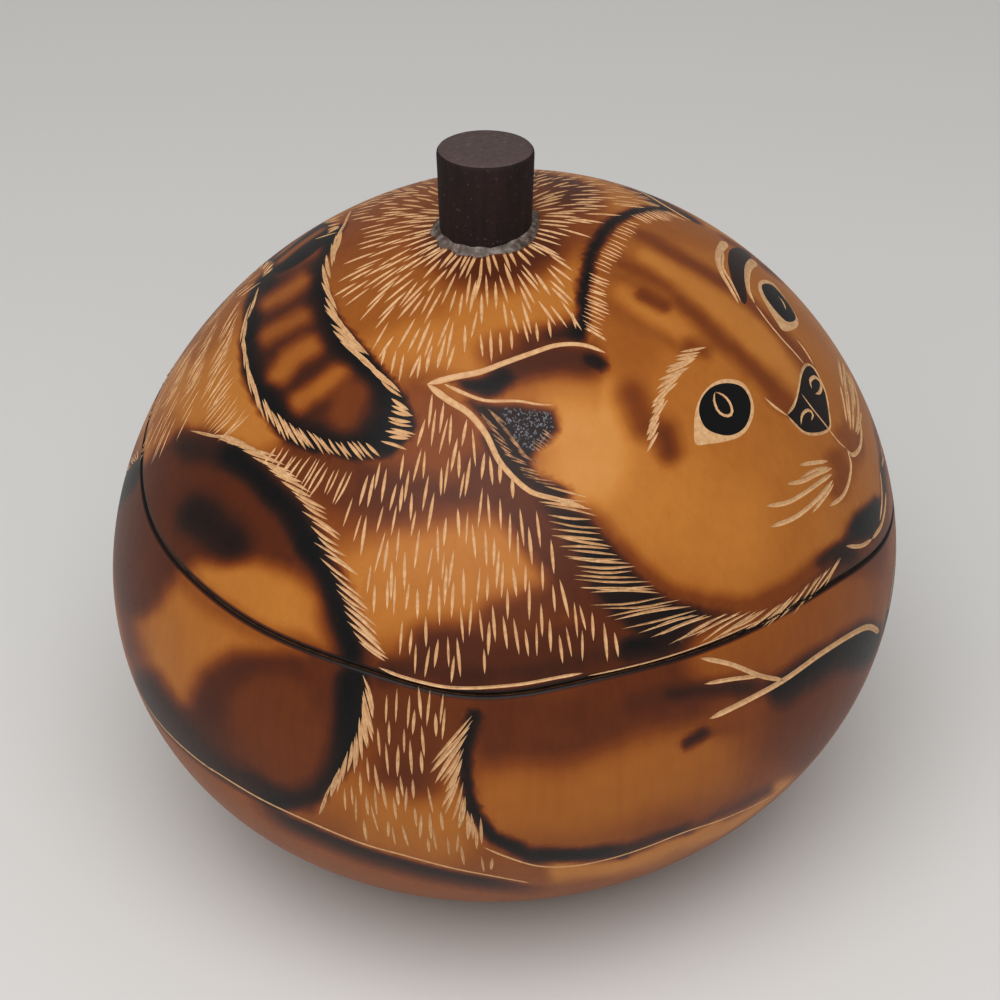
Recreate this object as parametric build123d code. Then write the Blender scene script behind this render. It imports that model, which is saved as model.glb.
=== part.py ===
from build123d import *
import math
import os

# Carved gourd box: a dried gourd sawn in two along a wavy seam.
# Millimetres, +Z up, origin on the table under the middle of the gourd.
# The carved animal's face looks along -Y.

# Body of the gourd, measured at its widest level, the belly
BODY_WIDTH = 100.0
UPPER_RISE = 47.9
LOWER_DROP = 39.3
UPPER_FULLNESS = 1.86
LOWER_FULLNESS = 2.08
FLAT_RADIUS = 16.0

# A grown gourd isn't quite round: one way across is wider than the other
OVAL_SHARE = 0.029
OVAL_AZIMUTH = 164.3

# Shell
WALL = 3.5
FLOOR = 4.0
FOOT_SANDED = 0.5

# Hand-sawn seam: its height above the belly every 15 degrees, from +X towards +Y
SEAM_RISES = [
    10.2, 12.0, 14.1, 16.3, 18.4, 20.1, 21.0, 20.7,
    18.8, 16.8, 15.9, 14.9, 13.9, 12.3, 13.2, 13.4,
    13.3, 12.3, 9.7, 7.7, 6.9, 6.9, 7.5, 8.7,
]
SEAM_BEVEL = 20.0
SEAM_KERF = 0.35

# Knob, set off the middle where the stem grew
KNOB_X = -4.4
KNOB_Y = 1.2
KNOB_TOP_RADIUS = 5.7
KNOB_FOOT_RADIUS = 5.4
KNOB_STANDS = 9.7
KNOB_EDGE = 0.5
KNOB_SLANT = 2.6
KNOB_SLANT_AZIMUTH = 19.0
TENON_CLEARANCE = 0.05
TENON_SHOWS_INSIDE = 0.8

# Dried glue round the foot of the knob
GLUE_WIDTH = 1.2
GLUE_HEIGHT = 0.9
GLUE_SEAT = 0.03

# Sizes that follow from the ones above
BODY_RADIUS = BODY_WIDTH / 2
BELLY_HEIGHT = LOWER_DROP * (1 - (FLAT_RADIUS / BODY_RADIUS) ** LOWER_FULLNESS) ** (1 / LOWER_FULLNESS)
INNER_RADIUS = BODY_RADIUS - WALL
INNER_RISE = UPPER_RISE - WALL
INNER_DROP = BELLY_HEIGHT - FLOOR
OVAL_TURN = math.radians(OVAL_AZIMUTH)


def quarter(radius, reach, fullness, first, last, count):
    """Points (r, z) along a rounded quarter curve between two of its angles; angle 0 is the belly."""
    points = []
    for i in range(count + 1):
        t = first + (last - first) * i / count
        r = radius * max(math.cos(t), 0.0) ** (2 / fullness)
        z = reach * max(math.sin(t), 0.0) ** (2 / fullness)
        points.append(Vector(r, 0, BELLY_HEIGHT + z))
    return points


def angle_at(height, reach, fullness):
    """Angle of a quarter curve at a height measured from the belly."""
    return math.asin(min(abs(height / reach), 1.0) ** (fullness / 2))


def run(points, first=None, last=None):
    """Smooth edge through points, with the ends' directions where they are known."""
    first = first or points[1] - points[0]
    last = last or points[-1] - points[-2]
    return Edge.make_spline(points, tangents=[first, last])


def lower_curve(radius, drop, last):
    """Under the belly, from the belly down."""
    points = quarter(radius, drop, LOWER_FULLNESS, 0, last, 10)
    points = [Vector(p.X, 0, 2 * BELLY_HEIGHT - p.Z) for p in points]
    if last > 1.57:
        points[-1] = Vector(0, 0, points[-1].Z)
        return points, run(points, Vector(0, 0, -1), Vector(-1, 0, 0))
    return points, run(points, Vector(0, 0, -1))


def base_section():
    """Half section of the base, up past the highest part of the seam."""
    stop = max(SEAM_RISES) + 2
    under = -FOOT_SANDED
    flat_angle = angle_at(BELLY_HEIGHT - under, LOWER_DROP, LOWER_FULLNESS)
    skin, skin_low = lower_curve(BODY_RADIUS, LOWER_DROP, flat_angle)
    lining, lining_low = lower_curve(INNER_RADIUS, INNER_DROP, math.pi / 2)
    skin_up = quarter(BODY_RADIUS, UPPER_RISE, UPPER_FULLNESS, 0,
                      angle_at(stop, UPPER_RISE, UPPER_FULLNESS), 6)
    lining_up = quarter(INNER_RADIUS, INNER_RISE, UPPER_FULLNESS, 0,
                        angle_at(stop, INNER_RISE, UPPER_FULLNESS), 6)
    edges = [
        skin_low,
        run(skin_up, Vector(0, 0, 1)),
        Edge.make_line(skin_up[-1], lining_up[-1]),
        run(lining_up, Vector(0, 0, 1)),
        lining_low,
        Edge.make_line(lining[-1], (0, 0, under)),
        Edge.make_line((0, 0, under), skin[-1]),
    ]
    return Face(Wire.combine(edges)[0])


def lid_skin():
    """Points of the lid's outside curve, from just under the lowest part of the seam to the crown."""
    stop = max(min(SEAM_RISES) - WALL, 0.2)
    skin = quarter(BODY_RADIUS, UPPER_RISE, UPPER_FULLNESS,
                   angle_at(stop, UPPER_RISE, UPPER_FULLNESS), math.pi / 2, 12)
    skin[-1] = Vector(0, 0, skin[-1].Z)
    return stop, skin


def lid_section():
    """Half section of the lid."""
    stop, skin = lid_skin()
    lining = quarter(INNER_RADIUS, INNER_RISE, UPPER_FULLNESS,
                     angle_at(stop, INNER_RISE, UPPER_FULLNESS), math.pi / 2, 12)
    lining[-1] = Vector(0, 0, lining[-1].Z)
    edges = [
        run(skin, None, Vector(-1, 0, 0)),
        Edge.make_line(skin[-1], lining[-1]),
        run(lining, None, Vector(-1, 0, 0)),
        Edge.make_line(lining[0], skin[0]),
    ]
    return Face(Wire.combine(edges)[0])


def to_round(x, y):
    """The point of the round form that the oval stretch carries to (x, y)."""
    u = (x * math.cos(OVAL_TURN) + y * math.sin(OVAL_TURN)) / (1 + OVAL_SHARE)
    w = (-x * math.sin(OVAL_TURN) + y * math.cos(OVAL_TURN)) / (1 - OVAL_SHARE)
    return u, w


def to_oval(shape):
    """Stretch a round form to the gourd's oval and turn it into place."""
    stretched = scale(shape, by=(1 + OVAL_SHARE, 1 - OVAL_SHARE, 1))
    return Rot(0, 0, OVAL_AZIMUTH) * stretched


def skin_radius(azimuth, rise):
    """Distance of the oval outside skin from the axis, at a height above the belly."""
    share = (1 - (rise / UPPER_RISE) ** UPPER_FULLNESS) ** (1 / UPPER_FULLNESS)
    u, w = to_round(math.cos(azimuth), math.sin(azimuth))
    return BODY_RADIUS * share / math.hypot(u, w)


def crown_height(x, y):
    """Height of the outside skin over a point near the crown."""
    u, w = to_round(x, y)
    share = math.hypot(u, w) / BODY_RADIUS
    return BELLY_HEIGHT + UPPER_RISE * (1 - share ** UPPER_FULLNESS) ** (1 / UPPER_FULLNESS)


def saw_ring(shift, reach):
    """Ring on one side of the sawn surface, for cutting the still round shells."""
    slope = math.tan(math.radians(SEAM_BEVEL))
    near = 0.7 * BODY_RADIUS
    far = 1.3 * BODY_RADIUS
    inside = []
    outside = []
    for i, rise in enumerate(SEAM_RISES):
        azimuth = 2 * math.pi * i / len(SEAM_RISES)
        skin = skin_radius(azimuth, rise)
        height = BELLY_HEIGHT + rise + shift
        u, w = to_round(near * math.cos(azimuth), near * math.sin(azimuth))
        inside.append(Vector(u, w, height - slope * (skin - near)))
        u, w = to_round(far * math.cos(azimuth), far * math.sin(azimuth))
        outside.append(Vector(u, w, height + slope * (far - skin)))
    sawn = Face.make_surface_from_curves(
        Edge.make_spline(inside, periodic=True), Edge.make_spline(outside, periodic=True))
    return Solid.extrude(sawn, Vector(0, 0, reach))


os.makedirs("parts", exist_ok=True)

# Base: the lower half with everything over the seam sawn away and the foot sanded flat
base_round = revolve(base_section(), axis=Axis.Z) - saw_ring(-SEAM_KERF / 2, 2 * BODY_WIDTH)
sanded = Box(BODY_WIDTH, BODY_WIDTH, 2 * FOOT_SANDED, align=(Align.CENTER, Align.CENTER, Align.MAX))
gourd_base = to_oval(base_round) - sanded

# Lid: the upper half with everything under the seam sawn away, and the hole for the knob
lid_round = revolve(lid_section(), axis=Axis.Z) - saw_ring(SEAM_KERF / 2, -2 * BODY_WIDTH)
crown = crown_height(KNOB_X, KNOB_Y)
crown_inside = crown - WALL
hole_radius = KNOB_FOOT_RADIUS + TENON_CLEARANCE
hole_u, hole_w = to_round(KNOB_X, KNOB_Y)
hole = Pos(hole_u, hole_w, crown - 3 * WALL) * extrude(
    Ellipse(hole_radius / (1 + OVAL_SHARE), hole_radius / (1 - OVAL_SHARE)), 6 * WALL)
gourd_lid = to_oval(lid_round - hole)

# Knob: a slightly tapered peg with its top cut a little aslant
top = crown + KNOB_STANDS
tip = KNOB_TOP_RADIUS * math.tan(math.radians(KNOB_SLANT))
tenon_end = crown_inside - TENON_SHOWS_INSIDE
taper = (KNOB_TOP_RADIUS - KNOB_FOOT_RADIUS) / KNOB_STANDS
over_top = top + 3 * tip
outline = Polyline(
    (0, 0, tenon_end),
    (KNOB_FOOT_RADIUS, 0, tenon_end),
    (KNOB_FOOT_RADIUS, 0, crown),
    (KNOB_TOP_RADIUS + taper * 3 * tip, 0, over_top),
    (0, 0, over_top),
    (0, 0, tenon_end),
)
peg = revolve(Face(Wire(outline.edges())), axis=Axis.Z)
slant = Rot(0, 0, KNOB_SLANT_AZIMUTH) * Pos(0, 0, top) * Rot(0, KNOB_SLANT, 0)
trim = slant * Box(6 * KNOB_TOP_RADIUS, 6 * KNOB_TOP_RADIUS, 9 * tip + 4,
                   align=(Align.CENTER, Align.CENTER, Align.MIN))
peg = peg - trim
rim = peg.edges().sort_by(Axis.Z)[-1]
peg = fillet(rim, KNOB_EDGE)
stem_knob = Pos(KNOB_X, KNOB_Y, 0) * peg

# Glue: a low ring that fills the corner between the knob and the crown.
# Its underside is part of a ball that just clears the skin all round the knob.
foot_ring = []
for k in range(48):
    a = math.radians(7.5 * k)
    for out in (0.0, 0.5, 1.0):
        reach = KNOB_FOOT_RADIUS + out * GLUE_WIDTH
        x = KNOB_X + reach * math.cos(a)
        y = KNOB_Y + reach * math.sin(a)
        foot_ring.append((math.hypot(x, y), crown_height(x, y)))
nearest = min(foot_ring)
farthest = max(foot_ring)
ball_radius = (farthest[0] ** 2 - nearest[0] ** 2) / (2 * (nearest[1] - farthest[1]))
ball_middle = max(z - math.sqrt(ball_radius ** 2 - d ** 2) for d, z in foot_ring) + GLUE_SEAT
bead_low = farthest[1]
bead_section = Polyline(
    (KNOB_FOOT_RADIUS * 0.9, 0, bead_low - 1),
    (KNOB_FOOT_RADIUS + GLUE_WIDTH, 0, bead_low - 1),
    (KNOB_FOOT_RADIUS + GLUE_WIDTH, 0, bead_low + 0.25 * GLUE_HEIGHT),
    (KNOB_FOOT_RADIUS + 0.45 * GLUE_WIDTH, 0, crown + 0.5 * GLUE_HEIGHT),
    (KNOB_FOOT_RADIUS * 0.9, 0, crown + GLUE_HEIGHT),
    (KNOB_FOOT_RADIUS * 0.9, 0, bead_low - 1),
)
bead = Pos(KNOB_X, KNOB_Y, 0) * revolve(Face(Wire(bead_section.edges())), axis=Axis.Z)
glue_bead = bead - stem_knob - Pos(0, 0, ball_middle) * Sphere(ball_radius)

pieces = {
    "gourd_base": gourd_base,
    "gourd_lid": gourd_lid,
    "stem_knob": stem_knob,
    "glue_bead": glue_bead,
}
for name, piece in pieces.items():
    solids = piece.solids()
    solid = max(solids, key=lambda s: s.volume)
    print(name, len(solids), round(solid.volume, 1), solid.is_valid, solid.bounding_box())
    export_step(solid, "parts/" + name + ".step")
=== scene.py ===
"""Looks of the carved gourd box: two carved and burnt shells, a wooden knob and its glue.

The carving is cut as real grooves. The outside skin is laid flat in a plane that keeps angles, the
outlines of all cuts are triangulated there, and the result is wrapped back on the gourd.
"""
import logging
import math
import random
from dataclasses import dataclass
from enum import Enum
from itertools import product
from typing import ClassVar

import bmesh
import bpy
import numpy as np
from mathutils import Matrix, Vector, geometry, kdtree, noise


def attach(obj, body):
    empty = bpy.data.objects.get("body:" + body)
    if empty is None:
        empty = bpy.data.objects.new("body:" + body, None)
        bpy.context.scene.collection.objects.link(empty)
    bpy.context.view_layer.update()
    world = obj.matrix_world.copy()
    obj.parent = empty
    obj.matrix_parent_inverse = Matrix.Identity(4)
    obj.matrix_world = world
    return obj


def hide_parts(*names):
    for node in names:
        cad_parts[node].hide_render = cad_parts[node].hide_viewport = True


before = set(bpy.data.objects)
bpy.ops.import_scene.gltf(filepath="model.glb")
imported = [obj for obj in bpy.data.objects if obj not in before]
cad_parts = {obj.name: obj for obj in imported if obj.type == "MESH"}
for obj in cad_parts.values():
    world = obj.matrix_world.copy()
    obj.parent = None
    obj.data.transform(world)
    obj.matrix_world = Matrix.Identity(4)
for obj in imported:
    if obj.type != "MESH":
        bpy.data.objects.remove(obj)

logging.basicConfig(level=logging.INFO, format="%(message)s")
LOG = logging.getLogger("gourd")
# Metres in a millimetre
MM = 0.001
SEED = 7
# Side of the picture's square frame in pixels
FRAME = 1000
# Millimetres between the points that fill the plain skin
GROUND_SPACING = 0.7
BURN_LAYER = "burn"
# Any height over the crown: up there the map goes by the radius alone
OVER_CROWN = 200.0
# Keeps divisions away from zero
TINY = 1e-9
# Turns a line on the map over to the cat's other side
MIRROR = np.array([-1.0, 1.0])
Array = np.ndarray
Shape = bmesh.types.BMesh
Edges = list[bmesh.types.BMEdge]
Layer = bmesh.types.BMLayerItem
Node = bpy.types.Node
Piece = bpy.types.Object
Span = tuple[float, float]
Points = list[Span]
Strokes = list[tuple[float, float, float, float]]
Place = tuple[float, float, float]


class Side(Enum):
    """Where a feature of the drawing is: on the cat's right side, mirrored to both, or just as drawn."""
    RIGHT = "right"
    BOTH = "both"
    DRAWN = "drawn"


class Half(Enum):
    """Halves of the sawn gourd, each a body of its own."""
    BASE = "base"
    LID = "lid"


class Slot(Enum):
    """Material slots of a carved shell."""
    SKIN = 0
    CUT = 1
    SAWN = 2
    PITH = 3
    SCRATCH = 4
    ASH = 5


@dataclass(frozen=True)
class PhotoCamera:
    """Camera that took the picture, in millimetres, for a frame of 1000 by 1000 pixels."""
    azimuth: float = -71.0
    elevation: float = 32.80
    distance: float = 340.0
    target: Place = (-0.29, 0.85, 44.32)
    focal: float = 2694.3
    centre: Span = (500.0, 499.0)

    def axes(self) -> tuple[Array, Array, Array, Array]:
        """Place, right, up and forward directions of the camera.

        Returns:
            The camera's place, then unit directions to its right, up and forward.
        """
        a = math.radians(self.azimuth)
        e = math.radians(self.elevation)
        back = np.array([math.sin(a) * math.cos(e), -math.cos(a) * math.cos(e), math.sin(e)])
        right = np.array([math.cos(a), math.sin(a), 0.0])
        place = np.array(self.target) + self.distance * back
        return place, right, np.cross(right, -back), -back

    def pixels(self, points: Array) -> Array:
        """Pixels of points in space.

        Args:
            points: points in space, in millimetres.

        Returns:
            One pixel for each point.
        """
        place, right, up, forward = self.axes()
        d = points - place
        depth = d @ forward
        x = self.centre[0] + self.focal * (d @ right) / depth
        y = self.centre[1] - self.focal * (d @ up) / depth
        return np.stack([x, y], -1)

    def rays(self, pixels: Array) -> Array:
        """Unit directions of the rays through pixels.

        Args:
            pixels: pixels of the picture.

        Returns:
            One direction for each pixel.
        """
        _, right, up, forward = self.axes()
        x = (pixels[:, :1] - self.centre[0]) / self.focal
        y = (self.centre[1] - pixels[:, 1:]) / self.focal
        d = x * right + y * up + forward
        return d / np.linalg.norm(d, axis=1)[:, None]


@dataclass(frozen=True)
class GourdSizes:
    """Sizes of the gourd in millimetres, the same as the solid model's."""
    radius: float = 50.0
    rise: float = 47.9
    drop: float = 39.3
    upper_fullness: float = 1.86
    lower_fullness: float = 2.08
    flat_radius: float = 16.0
    oval: float = 0.029
    oval_azimuth: float = 164.3
    wall: float = 3.5
    floor: float = 4.0
    bevel: float = 20.0
    kerf: float = 0.35
    knob: Span = (-4.4, 1.2)
    seam: tuple[float, ...] = (
        10.2, 12.0, 14.1, 16.3, 18.4, 20.1, 21.0, 20.7,
        18.8, 16.8, 15.9, 14.9, 13.9, 12.3, 13.2, 13.4,
        13.3, 12.3, 9.7, 7.7, 6.9, 6.9, 7.5, 8.7,
    )

    @property
    def belly(self) -> float:
        """Height of the widest level above the table."""
        share = 1 - (self.flat_radius / self.radius) ** self.lower_fullness
        return self.drop * share ** (1 / self.lower_fullness)


class GourdForm:
    """The gourd's outside skin and its flat map.

    The map keeps angles: a point of the skin lies at the same azimuth, at a distance from the crown
    that grows with the exponent of the run along the skin divided by the radius.
    """
    # The profile is tabulated ever closer towards the crown, where the map shrinks to a point
    CROWN_ANGLES = (1e-4, 0.3)
    CROWN_STEPS = 500
    PROFILE_STEPS = 900
    # Millimetres over the belly from where the radius tells a place better than the height does
    CROWN_LEVEL = 25.0
    # Millimetres of a ray in front of the camera's target and behind it, and how finely it is searched
    RAY_REACH = (75.0, 55.0)
    RAY_STEPS = 420
    RAY_HALVINGS = 30

    def __init__(self, sizes: GourdSizes) -> None:
        """Tabulate the profile from the crown to the foot.

        Args:
            sizes: the gourd's sizes.
        """
        self.sizes = sizes
        near = np.geomspace(*self.CROWN_ANGLES, self.CROWN_STEPS)
        wide = np.linspace(self.CROWN_ANGLES[1], math.pi / 2, self.PROFILE_STEPS)[1:]
        t = math.pi / 2 - np.concatenate([near, wide])
        t[-1] = 0.0
        r = sizes.radius * np.cos(t) ** (2 / sizes.upper_fullness)
        z = sizes.belly + sizes.rise * np.sin(t) ** (2 / sizes.upper_fullness)
        foot = math.asin((sizes.belly / sizes.drop) ** (sizes.lower_fullness / 2))
        s = np.linspace(0, foot, self.PROFILE_STEPS)[1:]
        low_r = sizes.radius * np.cos(s) ** (2 / sizes.lower_fullness)
        low_z = sizes.belly - sizes.drop * np.sin(s) ** (2 / sizes.lower_fullness)
        self.r = np.concatenate([r, low_r])
        self.z = np.concatenate([z, low_z])
        run = np.hypot(np.diff(self.r), np.diff(self.z))
        self.run = np.concatenate([[0], np.cumsum(run)])
        step = run / ((self.r[1:] + self.r[:-1]) / 2)
        m = np.concatenate([[0], np.cumsum(step)])
        self.m = m - np.interp(-sizes.belly, -self.z, m)
        dr = np.gradient(self.r, self.m)
        dz = np.gradient(self.z, self.m)
        length = np.hypot(dr, dz)
        self.nr = -dz / length
        self.nz = dr / length
        turn = math.radians(sizes.oval_azimuth)
        spin = np.array([[math.cos(turn), -math.sin(turn)], [math.sin(turn), math.cos(turn)]])
        self.stretch = spin @ np.diag([1 + sizes.oval, 1 - sizes.oval]) @ spin.T
        self.shrink = np.linalg.inv(self.stretch)
        self.camera = PhotoCamera()
        self.seam_curve = self._seam_spline()

    def _seam_spline(self) -> Array:
        """Slopes of the smooth closed curve through the seam's heights.

        Returns:
            One slope for each height.
        """
        y = np.array(self.sizes.seam)
        n = len(y)
        a = 4 * np.eye(n) + np.roll(np.eye(n), 1, 0) + np.roll(np.eye(n), -1, 0)
        return np.linalg.solve(a, 3 * (np.roll(y, -1) - np.roll(y, 1)))

    def seam_rise(self, azimuth: Array) -> Array:
        """Height of the seam over the belly at azimuths in radians.

        Args:
            azimuth: azimuths in radians.

        Returns:
            Heights over the belly in millimetres.
        """
        y = np.array(self.sizes.seam)
        n = len(y)
        u = (azimuth / (2 * math.pi) * n) % n
        i = np.floor(u).astype(int) % n
        j = (i + 1) % n
        f = u - np.floor(u)
        k = self.seam_curve
        a = y[j] - y[i]
        return (y[i] + k[i] * f + (3 * a - 2 * k[i] - k[j]) * f ** 2
                + (k[i] + k[j] - 2 * a) * f ** 3)

    def scale(self, plane: Array) -> Array:
        """Millimetres on the skin for a unit of the map."""
        rho = np.maximum(np.hypot(plane[:, 0], plane[:, 1]), TINY)
        return np.interp(np.log(rho), self.m, self.r) / rho

    def skin(self, plane: Array) -> tuple[Array, Array]:
        """Points of the skin and their normals, for points of the map.

        Args:
            plane: points of the map.

        Returns:
            Points of the skin and unit normals that point out.
        """
        rho = np.maximum(np.hypot(plane[:, 0], plane[:, 1]), TINY)
        m = np.log(rho)
        r = np.interp(m, self.m, self.r)
        flat = np.stack([plane[:, 0] / rho, plane[:, 1] / rho], -1)
        xy = (flat * r[:, None]) @ self.stretch.T
        n_xy = (flat * np.interp(m, self.m, self.nr)[:, None]) @ self.shrink.T
        normal = np.concatenate([n_xy, np.interp(m, self.m, self.nz)[:, None]], 1)
        normal /= np.linalg.norm(normal, axis=1)[:, None]
        point = np.concatenate([xy, np.interp(m, self.m, self.z)[:, None]], 1)
        return point, normal

    def flat(self, points: Array) -> Array:
        """Points of the map under points of the skin.

        Args:
            points: points of the skin.

        Returns:
            One point of the map for each.
        """
        xy = points[:, :2] @ self.shrink.T
        r = np.hypot(xy[:, 0], xy[:, 1])
        top = len(self.r) - self.PROFILE_STEPS + 1
        by_radius = np.interp(r, self.r[:top], self.m[:top])
        by_height = np.interp(-points[:, 2], -self.z, self.m)
        m = np.where(points[:, 2] > self.sizes.belly + self.CROWN_LEVEL, by_radius, by_height)
        return xy / np.maximum(r, TINY)[:, None] * np.exp(m)[:, None]

    def inside(self, points: Array) -> Array:
        """Whether points lie in the gourd's outside form.

        Args:
            points: points in space, in millimetres.

        Returns:
            True for each point inside.
        """
        s = self.sizes
        q = np.linalg.norm(points[..., :2] @ self.shrink.T, axis=-1) / s.radius
        h = points[..., 2] - s.belly
        over = q ** s.upper_fullness + np.maximum(h / s.rise, 0) ** s.upper_fullness
        under = q ** s.lower_fullness + np.maximum(-h / s.drop, 0) ** s.lower_fullness
        return np.where(h >= 0, over, under) < 1

    def spots(self, pixels: Points) -> Array:
        """Points of the map where the picture's pixels fall on the skin; pixels beside it are left out.

        Args:
            pixels: pixels of the picture.

        Returns:
            Points of the map, in the same order.
        """
        px = np.array(pixels, float)
        place = self.camera.axes()[0]
        rays = self.camera.rays(px)
        before, behind = self.RAY_REACH
        steps = np.linspace(self.camera.distance - before, self.camera.distance + behind, self.RAY_STEPS)
        hit = self.inside(place + steps[None, :, None] * rays[:, None, :])
        first = np.argmax(hit, axis=1)
        ok = hit.any(axis=1)
        far = steps[first]
        near = steps[np.maximum(first - 1, 0)]
        for _ in range(self.RAY_HALVINGS):
            mid = (near + far) / 2
            deep = self.inside(place + mid[:, None] * rays)
            far = np.where(deep, mid, far)
            near = np.where(deep, near, mid)
        return self.flat((place + far[:, None] * rays)[ok])

    def place(self, azimuth: float, height: float) -> Span:
        """Point of the map at an azimuth in degrees and a height over the table in millimetres."""
        rho = math.exp(float(np.interp(-height, -self.z, self.m)))
        return rho * math.cos(math.radians(azimuth)), rho * math.sin(math.radians(azimuth))

    def seam_loop(self, count: int, over: float = 0.0) -> Array:
        """Closed line on the map along the seam, or some millimetres over it.

        Args:
            count: how many points.
            over: millimetres over the seam.

        Returns:
            The loop's points, anticlockwise.
        """
        s = self.sizes
        a = np.linspace(0, 2 * math.pi, count, endpoint=False)
        rise = self.seam_rise(a) + over
        ray = circle(a)
        share = (1 - (rise / s.rise) ** s.upper_fullness) ** (1 / s.upper_fullness)
        reach = s.radius * share / np.linalg.norm(ray @ self.shrink.T, axis=1)
        return self.flat(np.concatenate([ray * reach[:, None], (s.belly + rise)[:, None]], 1))


def in_polygon(points: Array, polygon: Array) -> Array:
    """Even-odd test of points against a closed polygon.

    Args:
        points: points to test.
        polygon: corners of the polygon, in order.

    Returns:
        True for each point inside.
    """
    x = points[:, 0]
    y = points[:, 1]
    result = np.zeros(len(points), bool)
    for (x0, y0), (x1, y1) in zip(polygon, np.roll(polygon, -1, 0)):
        if y0 == y1:
            continue
        cross = (y0 > y) != (y1 > y)
        result ^= cross & (x < (x1 - x0) * (y - y0) / (y1 - y0) + x0)
    return result


def distance_to(points: Array, line: Array) -> Array:
    """Distance of points to a line of straight runs.

    Args:
        points: points to measure from.
        line: corners of the line, in order.

    Returns:
        One distance for each point.
    """
    best = np.full(len(points), np.inf)
    if len(line) == 1:
        return np.linalg.norm(points - line[0], axis=1)
    for a, b in zip(line[:-1], line[1:]):
        ab = b - a
        t = np.clip(((points - a) @ ab) / max(float(ab @ ab), TINY), 0, 1)
        best = np.minimum(best, np.linalg.norm(points - a - t[:, None] * ab, axis=1))
    return best


def thicken(line: Array, parts: int) -> Array:
    """The line with more points on every run."""
    share = np.linspace(0, 1, parts)[:, None]
    return np.concatenate([a + (b - a) * share for a, b in zip(line[:-1], line[1:])])


def rounded(points: Points, closed: bool, parts: int = 6) -> Points:
    """Smooth curve through points.

    Args:
        points: points that the curve passes.
        closed: whether it returns to its start.
        parts: runs between two points.

    Returns:
        More points, along the curve.
    """
    p = np.array(points, float)
    if len(p) < 3:
        return points
    ring = np.concatenate([p[-1:], p, p[:2]]) if closed else np.concatenate([p[:1], p, p[-1:]])
    found = []
    for a, b, c, d in zip(ring[:-3], ring[1:-2], ring[2:-1], ring[3:]):
        for t in np.linspace(0, 1, parts, endpoint=False):
            found.append(0.5 * (2 * b + (c - a) * t + (2 * a - 5 * b + 4 * c - d) * t ** 2
                                + (3 * b - a - 3 * c + d) * t ** 3))
    if not closed:
        found.append(p[-1])
    return [(float(x), float(y)) for x, y in found]


def smooth_step(low: float, high: float, value: Array) -> Array:
    """Soft step from 0 at low to 1 at high."""
    t = np.clip((value - low) / max(high - low, TINY), 0, 1)
    return t * t * (3 - 2 * t)


def blend(value: Array, goal: float | Array, share: Array) -> Array:
    """A value moved some share of the way to another."""
    return value + (goal - value) * share


def table(pairs: Points, places: Array) -> Array:
    """Values at places, along straight runs between pairs of place and value."""
    return np.interp(places, *zip(*pairs))


def circle(azimuth: Array) -> Array:
    """Unit directions in the plane at azimuths in radians."""
    return np.stack([np.cos(azimuth), np.sin(azimuth)], -1)


def leftward(way: Array) -> Array:
    """Directions in the plane, turned a quarter to the left."""
    return np.stack([-way[:, 1], way[:, 0]], -1)


def run_along(line: Array) -> Array:
    """Distance of each of a line's points from its start, along the line."""
    return np.concatenate([[0], np.cumsum(np.linalg.norm(np.diff(line, axis=0), axis=1))])


def from_back(azimuth: Array) -> Array:
    """Degrees away from the middle of the back, for azimuths in degrees."""
    return np.abs((azimuth - 90 + 180) % 360 - 180)


def sides(line: Array, side: Side) -> list[Array]:
    """A line on the map, on each side of the cat that carries it."""
    return [line, line * MIRROR] if side is Side.BOTH else [line]


def folded(plane: Array) -> Array:
    """Points of the map folded over to the cat's right side."""
    return np.stack([-np.abs(plane[:, 0]), plane[:, 1]], -1)


@dataclass(frozen=True)
class Burn:
    """A stroke or a filled patch of burning, in pixels of the picture.

    depth is 0 for bare skin and 1 for char; core is the half width at full strength, soft the fade.
    """
    depth: float
    core: float
    soft: float
    points: Points
    side: Side = Side.BOTH
    filled: bool = False

    def mask(self, pixels: Array) -> Array:
        """Strength of the stroke at pixels.

        Args:
            pixels: pixels of the picture.

        Returns:
            Strength from 0 to 1 for each pixel.
        """
        line = np.array(self.points, float)
        if self.filled:
            away = distance_to(pixels, np.concatenate([line, line[:1]]))
            away = np.where(in_polygon(pixels, line), -away, away)
            return 1 - smooth_step(-self.soft / 2, self.soft / 2, away)
        return 1 - smooth_step(self.core, self.core + self.soft, distance_to(pixels, line))


@dataclass(frozen=True)
class Groove:
    """A line to cut through pixels of the picture; width and depth in millimetres.

    A blunt one keeps its width to its ends; narrow is the share of the width that is left at its end.
    """
    points: Points
    width: float
    depth: float
    side: Side = Side.BOTH
    blunt: bool = False
    narrow: float = 1.0


@dataclass(frozen=True)
class Fringe:
    """A row of strokes, blended between a few whose foot and tip are given in pixels.

    Width and depth are in millimetres. wander is the unevenness as a share of a stroke's length, and
    slot is what the strokes lay bare.
    """
    pairs: Strokes
    count: int
    width: float
    depth: float
    side: Side = Side.BOTH
    wander: float = 0.15
    slot: Slot = Slot.CUT


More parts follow.
